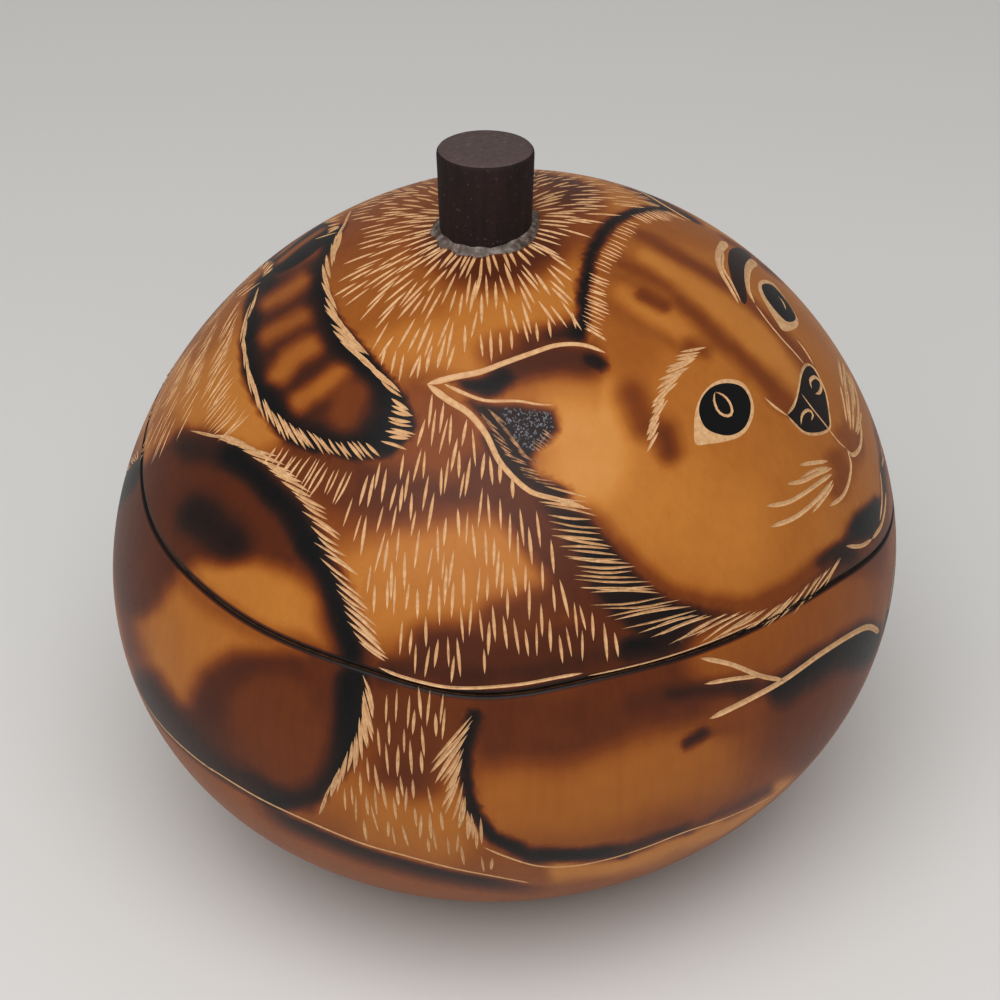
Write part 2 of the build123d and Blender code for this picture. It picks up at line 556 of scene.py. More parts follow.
FACE: Points = [
    (604, 352), (602, 300), (606, 258), (634, 217), (700, 225), (760, 262), (800, 310), (840, 360),
    (870, 420), (886, 470), (880, 520), (868, 538), (846, 546), (823, 566), (790, 592), (751, 608),
    (709, 608), (670, 595), (637, 569), (608, 530), (582, 500), (560, 480), (562, 430), (585, 390),
]
EAR: Points = [
    (427, 384), (455, 377), (480, 372), (504, 363), (532, 353), (553, 346), (571, 344), (588, 346),
    (604, 352), (600, 400), (590, 450), (575, 500), (536, 494), (524, 487), (510, 474), (498, 459),
    (487, 436), (476, 421), (466, 411), (448, 400), (431, 387),
]
TAIL: Points = [
    (354, 203), (339, 236), (326, 262), (325, 288), (336, 312), (353, 335), (372, 358), (404, 396),
    (417, 425), (396, 453), (352, 458), (309, 450), (280, 438), (263, 417), (250, 391), (241, 366),
    (239, 341), (245, 306), (257, 278), (286, 248), (322, 219),
]
HAUNCH: Points = [
    (143, 466), (158, 447), (184, 428), (224, 440), (264, 462), (288, 488), (312, 518), (331, 550),
    (347, 582), (366, 630), (377, 662), (366, 690), (366, 708), (358, 740), (339, 775), (312, 814),
    (257, 795), (205, 764), (160, 733), (125, 650), (113, 560), (122, 490),
]
PAW: Points = [
    (471, 711), (462, 754), (466, 795), (483, 828), (507, 848), (538, 860), (573, 859), (609, 852),
    (644, 840), (685, 824), (726, 811), (758, 797), (815, 757), (860, 700), (884, 632), (884, 580),
    (860, 578), (820, 598), (760, 628), (690, 660), (600, 684), (520, 698),
]
NOSE: Points = [
    (787, 415), (794, 405), (798, 391), (801, 374), (806, 365), (813, 367), (820, 379), (826, 394),
    (829, 412), (830, 427), (822, 433), (810, 434), (802, 431), (793, 422),
]
CHIN: Points = [
    (844, 538), (847, 525), (854, 514), (864, 506), (876, 496), (884, 499), (882, 520), (873, 535),
    (860, 542),
]
EAR_PATCH: Points = [
    (466, 400), (490, 404), (520, 405), (553, 410), (556, 428), (548, 440), (536, 450), (530, 464),
    (540, 480), (520, 478), (506, 462), (494, 440), (484, 420),
]
SPECKLED: Points = [
    (500, 408), (520, 408), (551, 412), (554, 428), (543, 440), (534, 450), (518, 448), (508, 434),
]


# The back isn't in the picture: azimuth in degrees and height in millimetres, chosen to close the drawing
BACK_TAIL: Points = [(97, 77), (88, 76), (80, 73), (75.5, 67.5), (75.5, 61), (79.5, 54), (86, 47.5), (91, 42)]
BACK_HAUNCH: Points = [(117, 55.5), (111.5, 51), (107, 45), (107, 39.5), (113, 33.5), (122, 30.3)]
BACK_BAND: Points = [(119, 54), (115, 50.5), (110.5, 45.5), (110.5, 40), (115, 36), (123, 33.4)]
BACK_HAUNCH_SIDE: Points = [(150, 30.3), (150, 45), (140, 60), (125, 60)]
# Azimuths between which the line round the bottom is drawn over the back, and its steps, in degrees
BACK_LINE = (156, 23, -4.0)
# Height of the line round the bottom, by the degrees away from the middle of the back
LOWER_LINE: Points = [
    (0, 30), (60, 30.2), (74, 29.9), (82, 29.0), (89, 27.5), (95, 26.3), (101, 24.7), (108, 22.7),
    (113, 20.2), (130, 17), (180, 16),
]
# Burning of the plain ground, by the height over the table
GROUND_TONE: Points = [
    (28, 0.45), (36, 0.32), (46, 0.60), (51, 0.62), (57, 0.26), (66, 0.55), (76, 0.28), (82, 0.45),
    (86, 0.62),
]
# Opposite corners, in pixels, of the part behind the tail where the fur is a fine slanting hatch
HATCHED: Points = [(0, 300), (262, 445)]

# All burning on the skin in the order it was laid on, the last stroke on top
BURNS: list[Burn] = [
    # Fur round the knob and over the back
    Burn(0.48, 30, 40, [(370, 215), (430, 205), (420, 245), (365, 262)]),
    Burn(0.50, 18, 34, [(545, 205), (600, 215)]),
    Burn(0.34, 8, 18, [(545, 180), (610, 190)]),
    Burn(0.27, 24, 42, [(400, 326), (450, 326), (500, 326), (540, 318), (562, 296)]),
    Burn(0.40, 20, 34, [(345, 300), (390, 290), (425, 280)]),
    Burn(0.68, 4, 34, [(440, 246), (458, 262), (487, 270), (520, 264), (545, 246)]),
    Burn(0.26, 14, 30, [(420, 358), (470, 346), (515, 336)]),
    Burn(0.48, 2, 22, [(490, 352), (530, 340), (570, 328)]),
    Burn(0.66, 0, 20, [(528, 344), (562, 334)]),
    Burn(0.82, 0, 16, [(552, 338), (574, 331)]),
    Burn(0.95, 1, 11, [(574, 334), (583, 322)]),
    Burn(0.50, 34, 40, [(425, 425), (440, 462), (455, 495)]),
    Burn(0.66, 14, 32, [(345, 478), (395, 496), (440, 510), (490, 510), (525, 520)]),
    Burn(0.60, 10, 30, [(300, 458), (330, 472)]),
    Burn(0.26, 26, 44, [(366, 592), (400, 580), (440, 568), (490, 562), (530, 562)]),
    Burn(0.70, 8, 36, [(430, 652), (480, 648), (530, 642), (580, 642), (630, 650)]),
    Burn(0.62, 8, 30, [(500, 620), (560, 602), (606, 594)]),
    Burn(0.76, 6, 16, [(388, 674), (450, 680), (520, 678), (585, 668), (640, 660)]),
    Burn(0.66, 8, 24, [(478, 470), (512, 500), (548, 548), (578, 588), (612, 622), (650, 640)]),
    Burn(0.24, 25, 34, [(200, 390), (235, 372), (250, 410)]),
    Burn(0.36, 10, 18, [(196, 340), (226, 308)]),
    # Black ground of the ruff, then the smooth face
    Burn(0.97, 14, 22, [(566, 494), (594, 536), (624, 576), (663, 608), (709, 626), (755, 622), (800, 598),
                        (834, 568)]),
    Burn(0.98, 8, 14, [(636, 652), (690, 640), (730, 624)]),
    Burn(0.92, 8, 14, [(604, 584), (634, 612), (668, 632)]),
    Burn(0.30, 0, 12, FACE, filled=True),
    Burn(0.56, 0, 18, [(575, 488), (608, 528), (637, 567), (670, 592), (709, 604), (751, 604), (790, 588),
                       (823, 562)]),
    Burn(0.24, 30, 50, [(660, 490), (720, 530)]),
    # Painted highlight: a pale sheen at the foot of the ear, laid into the burning as lighter skin
    Burn(0.08, 14, 44, [(590, 420), (590, 462)]),
    Burn(0.38, 14, 36, [(616, 268), (618, 305), (632, 345)]),
    Burn(0.48, 0, 15, [(640, 226), (690, 258), (720, 284), (745, 308), (775, 338), (800, 361)]),
    Burn(0.54, 0, 16, [(622, 264), (660, 288), (700, 322), (738, 352), (766, 380), (788, 404)]),
    Burn(0.45, 0, 18, [(668, 224), (700, 240), (722, 262)]),
    Burn(0.44, 0, 14, [(606, 268), (640, 286), (664, 300)], Side.DRAWN),
    Burn(0.44, 0, 16, [(608, 306), (648, 328), (686, 346)], Side.DRAWN),
    Burn(0.22, 4, 14, [(652, 254), (690, 280), (742, 327), (796, 374)]),
    Burn(0.24, 0, 16, [(622, 292), (652, 312), (690, 336)], Side.DRAWN),
    Burn(0.60, 0, 10, [(641, 294), (651, 300), (664, 308)], Side.DRAWN),
    Burn(0.50, 0, 14, [(690, 343), (706, 350)], Side.DRAWN),
    Burn(0.54, 4, 26, [(630, 398), (642, 422)]),
    Burn(0.62, 0, 24, [(666, 430), (669, 450)]),
    Burn(0.50, 2, 12, [(778, 396), (790, 406)]),
    Burn(0.48, 3, 14, [(836, 456), (844, 472), (838, 490)]),
    Burn(0.46, 3, 10, [(840, 434), (850, 442)], Side.DRAWN),
    Burn(0.97, 0, 12, CHIN, Side.DRAWN, True),
    Burn(0.86, 0, 11, [(850, 540), (836, 551), (822, 564)], Side.DRAWN),
    # Ear
    Burn(0.35, 0, 14, EAR, filled=True),
    # Painted highlight: the pale sheen at the foot of the ear, laid in as lighter skin
    Burn(0.12, 8, 52, [(570, 428), (588, 430), (582, 470)]),
    Burn(0.72, 4, 24, [(506, 372), (535, 361), (560, 358), (586, 360)]),
    Burn(0.97, 0, 12, [(452, 383), (480, 378), (506, 368), (514, 378), (500, 393), (488, 398), (470, 392)],
         filled=True),
    Burn(0.93, 3, 7, [(590, 358), (600, 363)]),
    Burn(0.90, 0, 14, EAR_PATCH, filled=True),
    Burn(0.86, 2, 12, [(490, 438), (502, 458), (515, 472), (534, 486), (562, 495)]),
    # Dark parting from the knob down to the ear
    Burn(0.95, 2, 8, [(601, 237), (591, 256), (585, 275), (583, 296), (583, 318), (581, 335)]),
    # Tail with its bars
    Burn(0.97, 0, 8, TAIL, Side.RIGHT, True),
    Burn(0.76, 0, 20, [(300, 258), (320, 250), (312, 290), (318, 318), (326, 345), (346, 366), (368, 390),
                       (376, 412), (362, 432), (335, 434), (308, 426), (285, 410), (268, 385), (258, 355),
                       (256, 325), (264, 295), (280, 272)], Side.RIGHT, True),
    Burn(0.44, 1, 15, [(278, 266), (312, 250)], Side.RIGHT),
    Burn(0.38, 1, 17, [(267, 304), (284, 294), (303, 281)], Side.RIGHT),
    Burn(0.42, 1, 16, [(268, 336), (286, 326), (301, 316)], Side.RIGHT),
    Burn(0.34, 2, 18, [(278, 376), (290, 358), (309, 345)], Side.RIGHT),
    Burn(0.34, 2, 18, [(299, 404), (321, 391), (339, 376)], Side.RIGHT),
    Burn(0.58, 8, 18, [(352, 398), (345, 416)], Side.RIGHT),
    # Haunch
    Burn(0.66, 0, 12, HAUNCH, filled=True),
    Burn(0.80, 4, 20, [(188, 446), (206, 449), (226, 460)]),
    Burn(0.24, 0, 30, [(197, 566), (240, 558), (293, 574), (316, 596), (326, 646), (277, 634), (218, 604),
                       (185, 575)], filled=True),
    Burn(0.28, 0, 34, [(132, 620), (178, 580), (218, 612), (300, 652), (237, 655), (202, 680), (196, 708),
                       (176, 712), (150, 688)], filled=True),
    Burn(0.97, 4, 18, [(231, 455), (264, 482), (294, 514), (310, 543)]),
    Burn(0.97, 3, 14, [(308, 543), (328, 582), (342, 618), (352, 655)]),
    Burn(0.97, 8, 16, [(352, 680), (351, 722), (339, 756), (316, 782), (277, 797), (240, 789)]),
    Burn(0.90, 2, 36, [(198, 516), (214, 528), (228, 540)]),
    Burn(0.72, 2, 34, [(207, 714), (218, 684), (246, 672), (280, 678)]),
    Burn(0.60, 26, 30, [(268, 712), (290, 750)]),
    Burn(0.82, 8, 26, [(144, 692), (178, 738), (205, 770), (240, 790)]),
    Burn(0.66, 12, 22, [(128, 530), (140, 580)]),
    Burn(0.66, 2, 26, [(134, 604), (144, 598)]),
    # Fur between haunch and paw
    Burn(0.62, 20, 30, [(420, 712), (405, 770)]),
    Burn(0.30, 14, 34, [(386, 822), (440, 840)]),
    # Strip under the paw, bare skin lightened further by a painted sheen, then the paw
    Burn(0.20, 4, 16, [(560, 872), (640, 856), (720, 828), (790, 786)]),
    Burn(0.50, 0, 8, PAW, filled=True),
    Burn(0.64, 22, 36, [(505, 725), (560, 732), (620, 704), (680, 690)]),
    Burn(0.44, 16, 34, [(720, 655), (790, 632), (850, 600)]),
    Burn(0.34, 14, 44, [(510, 806), (580, 806), (650, 776), (700, 764)]),
    Burn(0.70, 0, 18, [(636, 704), (670, 694), (700, 690), (770, 688)]),
    Burn(0.80, 0, 12, [(672, 694), (700, 690), (750, 687)]),
    Burn(0.52, 0, 12, [(704, 734), (740, 724), (790, 708)]),
    Burn(0.82, 0, 12, [(686, 745), (704, 734)]),
    Burn(0.97, 10, 20, [(790, 694), (826, 668), (868, 643)]),
    Burn(0.60, 20, 34, [(800, 735), (846, 704)]),
    Burn(0.95, 2, 9, [(474, 716), (466, 745), (465, 778), (473, 808)]),
    Burn(0.96, 2, 9, [(473, 808), (496, 838), (530, 855), (582, 858), (622, 851)]),
    Burn(0.82, 0, 10, [(618, 852), (650, 842), (690, 827)]),
    Burn(0.66, 0, 9, [(690, 827), (725, 814), (770, 790)]),
]
# Outlines and single lines of the drawing
GROOVES: list[Groove] = [
    # Ear
    Groove(EAR[:8] + [(606, 353)], 0.84, 0.32, narrow=0.55),
    Groove(EAR[:1] + EAR[19:11:-1] + [(560, 500), (585, 507)], 0.8, 0.32, narrow=0.6),
    Groove([(444, 384), (459, 391), (476, 398), (490, 401), (518, 401), (536, 404), (553, 405)], 0.48, 0.2,
           narrow=0.5),
    Groove([(500, 460), (500, 484)], 0.45, 0.25),
    Groove([(512, 477), (513, 499)], 0.45, 0.25),
    # Catchlights of the eyes
    Groove([(715, 392), (714, 400), (718, 411), (726, 416), (732, 413), (730, 403), (723, 395), (715, 392)],
           0.36, 0.15, Side.DRAWN),
    Groove([(778, 296), (783, 302), (786, 310)], 0.4, 0.12, Side.DRAWN),
    # Nose with its ridge and nostrils
    Groove(NOSE + NOSE[:1], 0.36, 0.18, Side.DRAWN),
    Groove([(801, 393), (812, 408), (824, 423), (838, 441), (847, 449)], 0.24, 0.15, Side.DRAWN),
    Groove([(801, 425), (802, 415), (808, 410), (813, 414), (811, 421)], 0.4, 0.15, Side.DRAWN),
    Groove([(812, 389), (810, 381), (815, 377), (821, 383), (820, 392), (815, 394)], 0.5, 0.15, Side.DRAWN),
    Groove([(764, 397), (775, 407), (788, 416)], 0.4, 0.2),
    # Mouth and whiskers
    Groove([(847, 449), (852, 455), (858, 451), (861, 442), (861, 428), (858, 416)], 0.6, 0.2, Side.DRAWN),
    Groove([(847, 449), (851, 465), (848, 485), (841, 498), (829, 506)], 0.52, 0.22, Side.DRAWN),
    Groove([(799, 465), (812, 463), (828, 461)], 0.5, 0.2),
    Groove([(787, 484), (803, 481), (817, 474), (832, 468)], 0.52, 0.22),
    Groove([(800, 478), (815, 470), (828, 467)], 0.36, 0.2),
    Groove([(766, 506), (786, 503), (803, 494), (823, 480), (832, 474)], 0.54, 0.22),
    Groove([(770, 527), (792, 519), (809, 507), (822, 494), (833, 480)], 0.56, 0.22),
    Groove([(812, 513), (820, 503), (829, 491), (834, 483)], 0.48, 0.2),
    # Far brow, and the line from it down to the nose
    Groove([(726, 242), (720, 250), (718, 261), (722, 274), (729, 286), (739, 304)], 1.3, 0.2, Side.DRAWN,
           narrow=0.4),
    Groove([(723, 252), (722, 266), (731, 282), (741, 302)], 0.7, 0.2, Side.DRAWN, narrow=0.5),
    Groove([(755, 261), (748, 269), (748, 288), (755, 304)], 1.4, 0.2, Side.DRAWN, narrow=0.4),
    Groove([(755, 304), (768, 322), (783, 340), (795, 353), (805, 365)], 0.3, 0.15, Side.DRAWN),
    # Chin
    Groove([(846, 546), (861, 546), (872, 539)], 0.5, 0.22),
    Groove([(872, 539), (881, 526), (885, 509), (886, 492)], 0.6, 0.22, Side.DRAWN),
    # Line along the lid's edge
    Groove([(378, 667), (397, 675), (421, 682), (446, 687), (473, 688), (504, 686), (529, 683), (560, 677),
            (583, 673)], 0.36, 0.2, Side.RIGHT, True),
    Groove([(587, 676), (620, 669), (656, 660), (691, 649), (727, 635), (760, 620)], 0.17, 0.12, Side.RIGHT,
           True),
    # Paw
    Groove([(483, 847), (507, 857), (538, 866), (573, 866), (609, 859), (644, 848), (685, 832), (726, 818),
            (770, 797), (792, 776)], 0.3, 0.16, blunt=True),
    Groove([(700, 658), (730, 664), (761, 676), (784, 680)], 0.55, 0.25),
    Groove([(704, 684), (733, 679), (761, 676)], 0.5, 0.25),
    Groove([(709, 719), (746, 701), (784, 680), (822, 653), (854, 633), (869, 627), (879, 632)], 0.75, 0.28),
    # Line round the bottom
    Groove([(205, 765), (257, 797), (310, 822), (361, 843), (407, 856), (452, 868), (498, 877), (530, 883)],
           0.32, 0.16, blunt=True),
]
# Rows of strokes along the edges of the drawing
FRINGES: list[Fringe] = [
    # Ruff round the face
    Fringe([(582, 494, 540, 483), (595, 520, 543, 513), (608, 546, 556, 540), (634, 568, 577, 566),
            (650, 585, 579, 587), (667, 594, 583, 598), (676, 602, 598, 610), (696, 613, 626, 629),
            (725, 613, 667, 642), (745, 611, 693, 639), (764, 608, 713, 639), (784, 602, 745, 631),
            (807, 585, 776, 622), (823, 572, 801, 607), (846, 553, 826, 585)], 50, 0.31, 0.3, wander=0.1),
    # Parting beside the face
    Fringe([(590, 272, 610, 280), (587, 288, 607, 296), (585, 306, 609, 316), (582, 319, 602, 330),
            (586, 331, 607, 345)], 17, 0.27, 0.2, wander=0.08),
    Fringe([(626, 219, 642, 225), (616, 228, 634, 236), (606, 241, 626, 250), (598, 255, 616, 263),
            (592, 267, 612, 275)], 15, 0.25, 0.2, Side.DRAWN, 0.08),
    # Near brow
    Fringe([(680, 350, 706, 344), (676, 357, 702, 352), (662, 376, 690, 364), (655, 396, 680, 377),
            (650, 412, 668, 392), (647, 432, 662, 410), (648, 452, 657, 436)], 20, 0.52, 0.22, Side.DRAWN),
    # Fluff on the far cheek
    Fringe([(837, 359, 841, 390), (842, 364, 847, 402), (847, 372, 852, 408), (852, 382, 856, 410)], 6, 0.7,
           0.2, Side.DRAWN),
    # Tail: inner edge, tip, lower edge
    Fringe([(353, 205, 344, 224), (347, 221, 334, 247), (330, 245, 332, 273), (323, 264, 329, 293),
            (323, 292, 337, 313), (326, 308, 353, 338), (336, 338, 372, 365), (358, 356, 395, 386),
            (380, 381, 407, 402)], 20, 0.54, 0.3, Side.RIGHT),
    Fringe([(393, 398, 412, 410), (388, 412, 415, 419), (388, 424, 415, 430), (388, 437, 412, 441),
            (382, 443, 402, 451)], 9, 0.42, 0.26, Side.RIGHT),
    Fringe([(370, 443, 384, 457), (346, 442, 360, 459), (320, 436, 336, 456), (294, 427, 310, 451),
            (274, 412, 286, 440), (258, 392, 266, 420), (247, 364, 252, 394), (243, 338, 244, 366),
            (249, 308, 242, 338), (261, 282, 249, 308)], 36, 0.38, 0.26, Side.RIGHT),
    # Fine slanting hatch between the tail and the haunch
    Fringe([(242, 296, 222, 332), (234, 326, 210, 366), (229, 358, 203, 398), (234, 392, 206, 426),
            (250, 418, 226, 442)], 30, 0.27, 0.18, Side.RIGHT),
    Fringe([(222, 312, 200, 346), (210, 344, 186, 384), (201, 378, 178, 414)], 18, 0.25, 0.18, Side.RIGHT),
    Fringe([(194, 350, 174, 386), (182, 380, 160, 412)], 10, 0.24, 0.18, Side.RIGHT),
    Fringe([(276, 444, 262, 462), (300, 456, 284, 478), (330, 464, 312, 496), (356, 468, 340, 502)], 15, 0.3,
           0.2, Side.RIGHT),
    # Haunch, over the seam and down to the bottom line
    Fringe([(183, 429, 216, 437), (204, 434, 246, 443), (234, 446, 275, 457), (255, 458, 293, 471),
            (275, 476, 311, 492), (294, 494, 330, 513), (307, 518, 341, 540), (317, 545, 353, 569),
            (329, 576, 365, 605), (343, 607, 379, 640), (356, 642, 388, 666)], 32, 0.42, 0.28),
    Fringe([(363, 672, 374, 700), (364, 690, 374, 728), (362, 712, 368, 750), (354, 738, 352, 774),
            (342, 764, 333, 796), (328, 788, 315, 818)], 16, 0.46, 0.28),
    # Wrist
    Fringe([(473, 712, 437, 756), (466, 732, 435, 770), (462, 750, 440, 788), (460, 770, 446, 806),
            (463, 790, 455, 826), (468, 808, 468, 838), (476, 824, 481, 848)], 15, 0.5, 0.3),
    # Scratches in the ear
    Fringe([(480, 410, 494, 422), (488, 424, 502, 436), (498, 442, 512, 452), (509, 458, 526, 464),
            (522, 472, 540, 476), (538, 484, 562, 488)], 15, 0.2, 0.08, slot=Slot.SCRATCH, wander=0.3),
    Fringe([(488, 408, 502, 420), (500, 424, 514, 438), (512, 442, 524, 454), (524, 458, 540, 464)], 11, 0.2,
           0.08, slot=Slot.SCRATCH, wander=0.3),
    Fringe([(528, 446, 540, 456), (538, 438, 550, 446), (546, 428, 557, 436)], 7, 0.2, 0.08,
           slot=Slot.SCRATCH, wander=0.3),
]


@dataclass(frozen=True)
class BackBurn:
    """A stroke of burning on the hidden back: a line on the map, with sizes in millimetres."""
    depth: float
    core: float
    soft: float
    line: Array
    side: Side = Side.BOTH

    def mask(self, form: GourdForm, points: Array) -> Array:
        """Strength of the stroke at points of the skin.

        Args:
            form: the gourd.
            points: points of the skin.

        Returns:
            Strength from 0 to 1 for each point.
        """
        lines = [form.skin(thicken(line, 6))[0] for line in sides(self.line, self.side)]
        away = np.min([distance_to(points, line) for line in lines], axis=0)
        return 1 - smooth_step(self.core, self.core + self.soft, away)


@dataclass(frozen=True)
class Cut:
    """One groove: a line on the map with its greatest width and depth in millimetres."""
    line: Array
    width: float
    depth: float
    blunt: bool = False
    narrow: float = 1.0
    slot: Slot = Slot.CUT


class Crowd:
    """Remembers which places on the skin are taken, sorted into cells of some millimetres."""
    CELL = 2

    def __init__(self) -> None:
        """Start empty."""
        self.cells: dict[tuple[int, int, int], list[Array]] = {}

    def _cell(self, p: Array) -> tuple[int, int, int]:
        """Cell that holds a point."""
        return tuple(int(c // self.CELL) for c in p)

    def mark(self, points: Array) -> None:
        """Take places."""
        for p in points:
            self.cells.setdefault(self._cell(p), []).append(p)

    def near(self, p: Array, gap: float) -> bool:
        """Whether a taken place is closer than a gap in millimetres."""
        around = product(*((k - 1, k, k + 1) for k in self._cell(p)))
        return any(math.dist(p, q) < gap for cell in around for q in self.cells.get(cell, ()))


@dataclass(frozen=True)
class StrokeSizes:
    """Unevenness of hand-cut strokes, as shares, and sizes of some of them, in millimetres.

    Only half a speck's length is in pixels of the picture.
    """
    place: Span = (0.2, 0.8)
    width: Span = (0.7, 1.15)
    run: Span = (0.8, 1.2)
    tip_sway: float = 0.06
    bend: float = 0.05
    lean_in: float = 0.5
    lean_out: float = 1.3
    back_depth: float = 0.26
    tail_half: float = 4.4
    tail_room: float = 4.6
    bar_half: float = 2.4
    specks: int = 280
    speck_half: Span = (0.7, 1.7)
    speck_width: Span = (0.11, 0.24)
    speck_depth: float = 0.06
    corner_width: float = 0.36


@dataclass(frozen=True)
class FurSizes:
    """Sizes of the coat's ticks in millimetres, their leans in radians.

    Rows of ticks start round the knob and spread out until settle_run; the values that end in _more are
    what is added by then, and those that end in _near what is added at the knob. Ticks are uneven around
    the row by a share of the pitch, and along the skin by millimetres.
    """
    first_row: float = 7.9
    settle_run: float = 20.0
    row_gap: float = 1.7
    row_gap_more: float = 0.35
    bare_end: float = 14.0
    pitch: float = 0.95
    pitch_more: float = 0.3
    centre_run: float = 30.0
    around: float = 0.28
    along: float = 1.6
    least_radius: float = 5.0
    lean: float = 0.12
    length: Span = (2.9, 4.7)
    length_near: float = 0.8
    width: Span = (0.27, 0.42)
    width_near: float = 0.06
    depth: float = 0.24
    gap: float = 0.38
    line_gap: float = 1.8
    hatch_lean: float = 0.45
    hatch_length: Span = (4.5, 7.0)
    hatch_width: Span = (0.2, 0.3)
    # Degrees from the back where the bare chest starts, and the height where it ends
    chest: Span = (140, 62)
    # Degrees from the back where the arms start, and how far under the seam they do
    arms: Span = (109, 1)

    def settled(self, run: float) -> float:
        """How far the rows have spread at a run from the knob, from 0 to 1."""
        return min((run - self.first_row) / self.settle_run, 1.0)


@dataclass(frozen=True)
class EdgeTones:
    """Burning along the seam and under the bottom line, both partly painted shade, and the wavering of burnt
    edges.

    Fades and reaches are in millimetres, the shade's ends in degrees from the back, wavering in pixels.
    """
    # Char along the seam: the burnt rim, and painted shade of the sawn gap
    seam: float = 0.96
    seam_fade: Span = (0.2, 0.6)
    # Tone of the skin under the bottom line, deepened partly as painted shade
    bare: float = 0.44
    bare_fade: Span = (0.2, 1.2)
    # Painted shade: a darker band just under the bottom line, between the shade's starts and ends
    shade: float = 0.40
    shade_middle: float = 1.5
    shade_fade: Span = (0.0, 5.0)
    shade_starts: Span = (70, 80)
    shade_ends: Span = (104, 118)
    broad_cells: float = 0.16
    broad_waver: float = 4.0
    fine_cells: float = 0.55
    fine_waver: float = 1.5
    # How squarely the camera has to look at the skin for the drawing to reach it
    facing: Span = (0.03, 0.16)


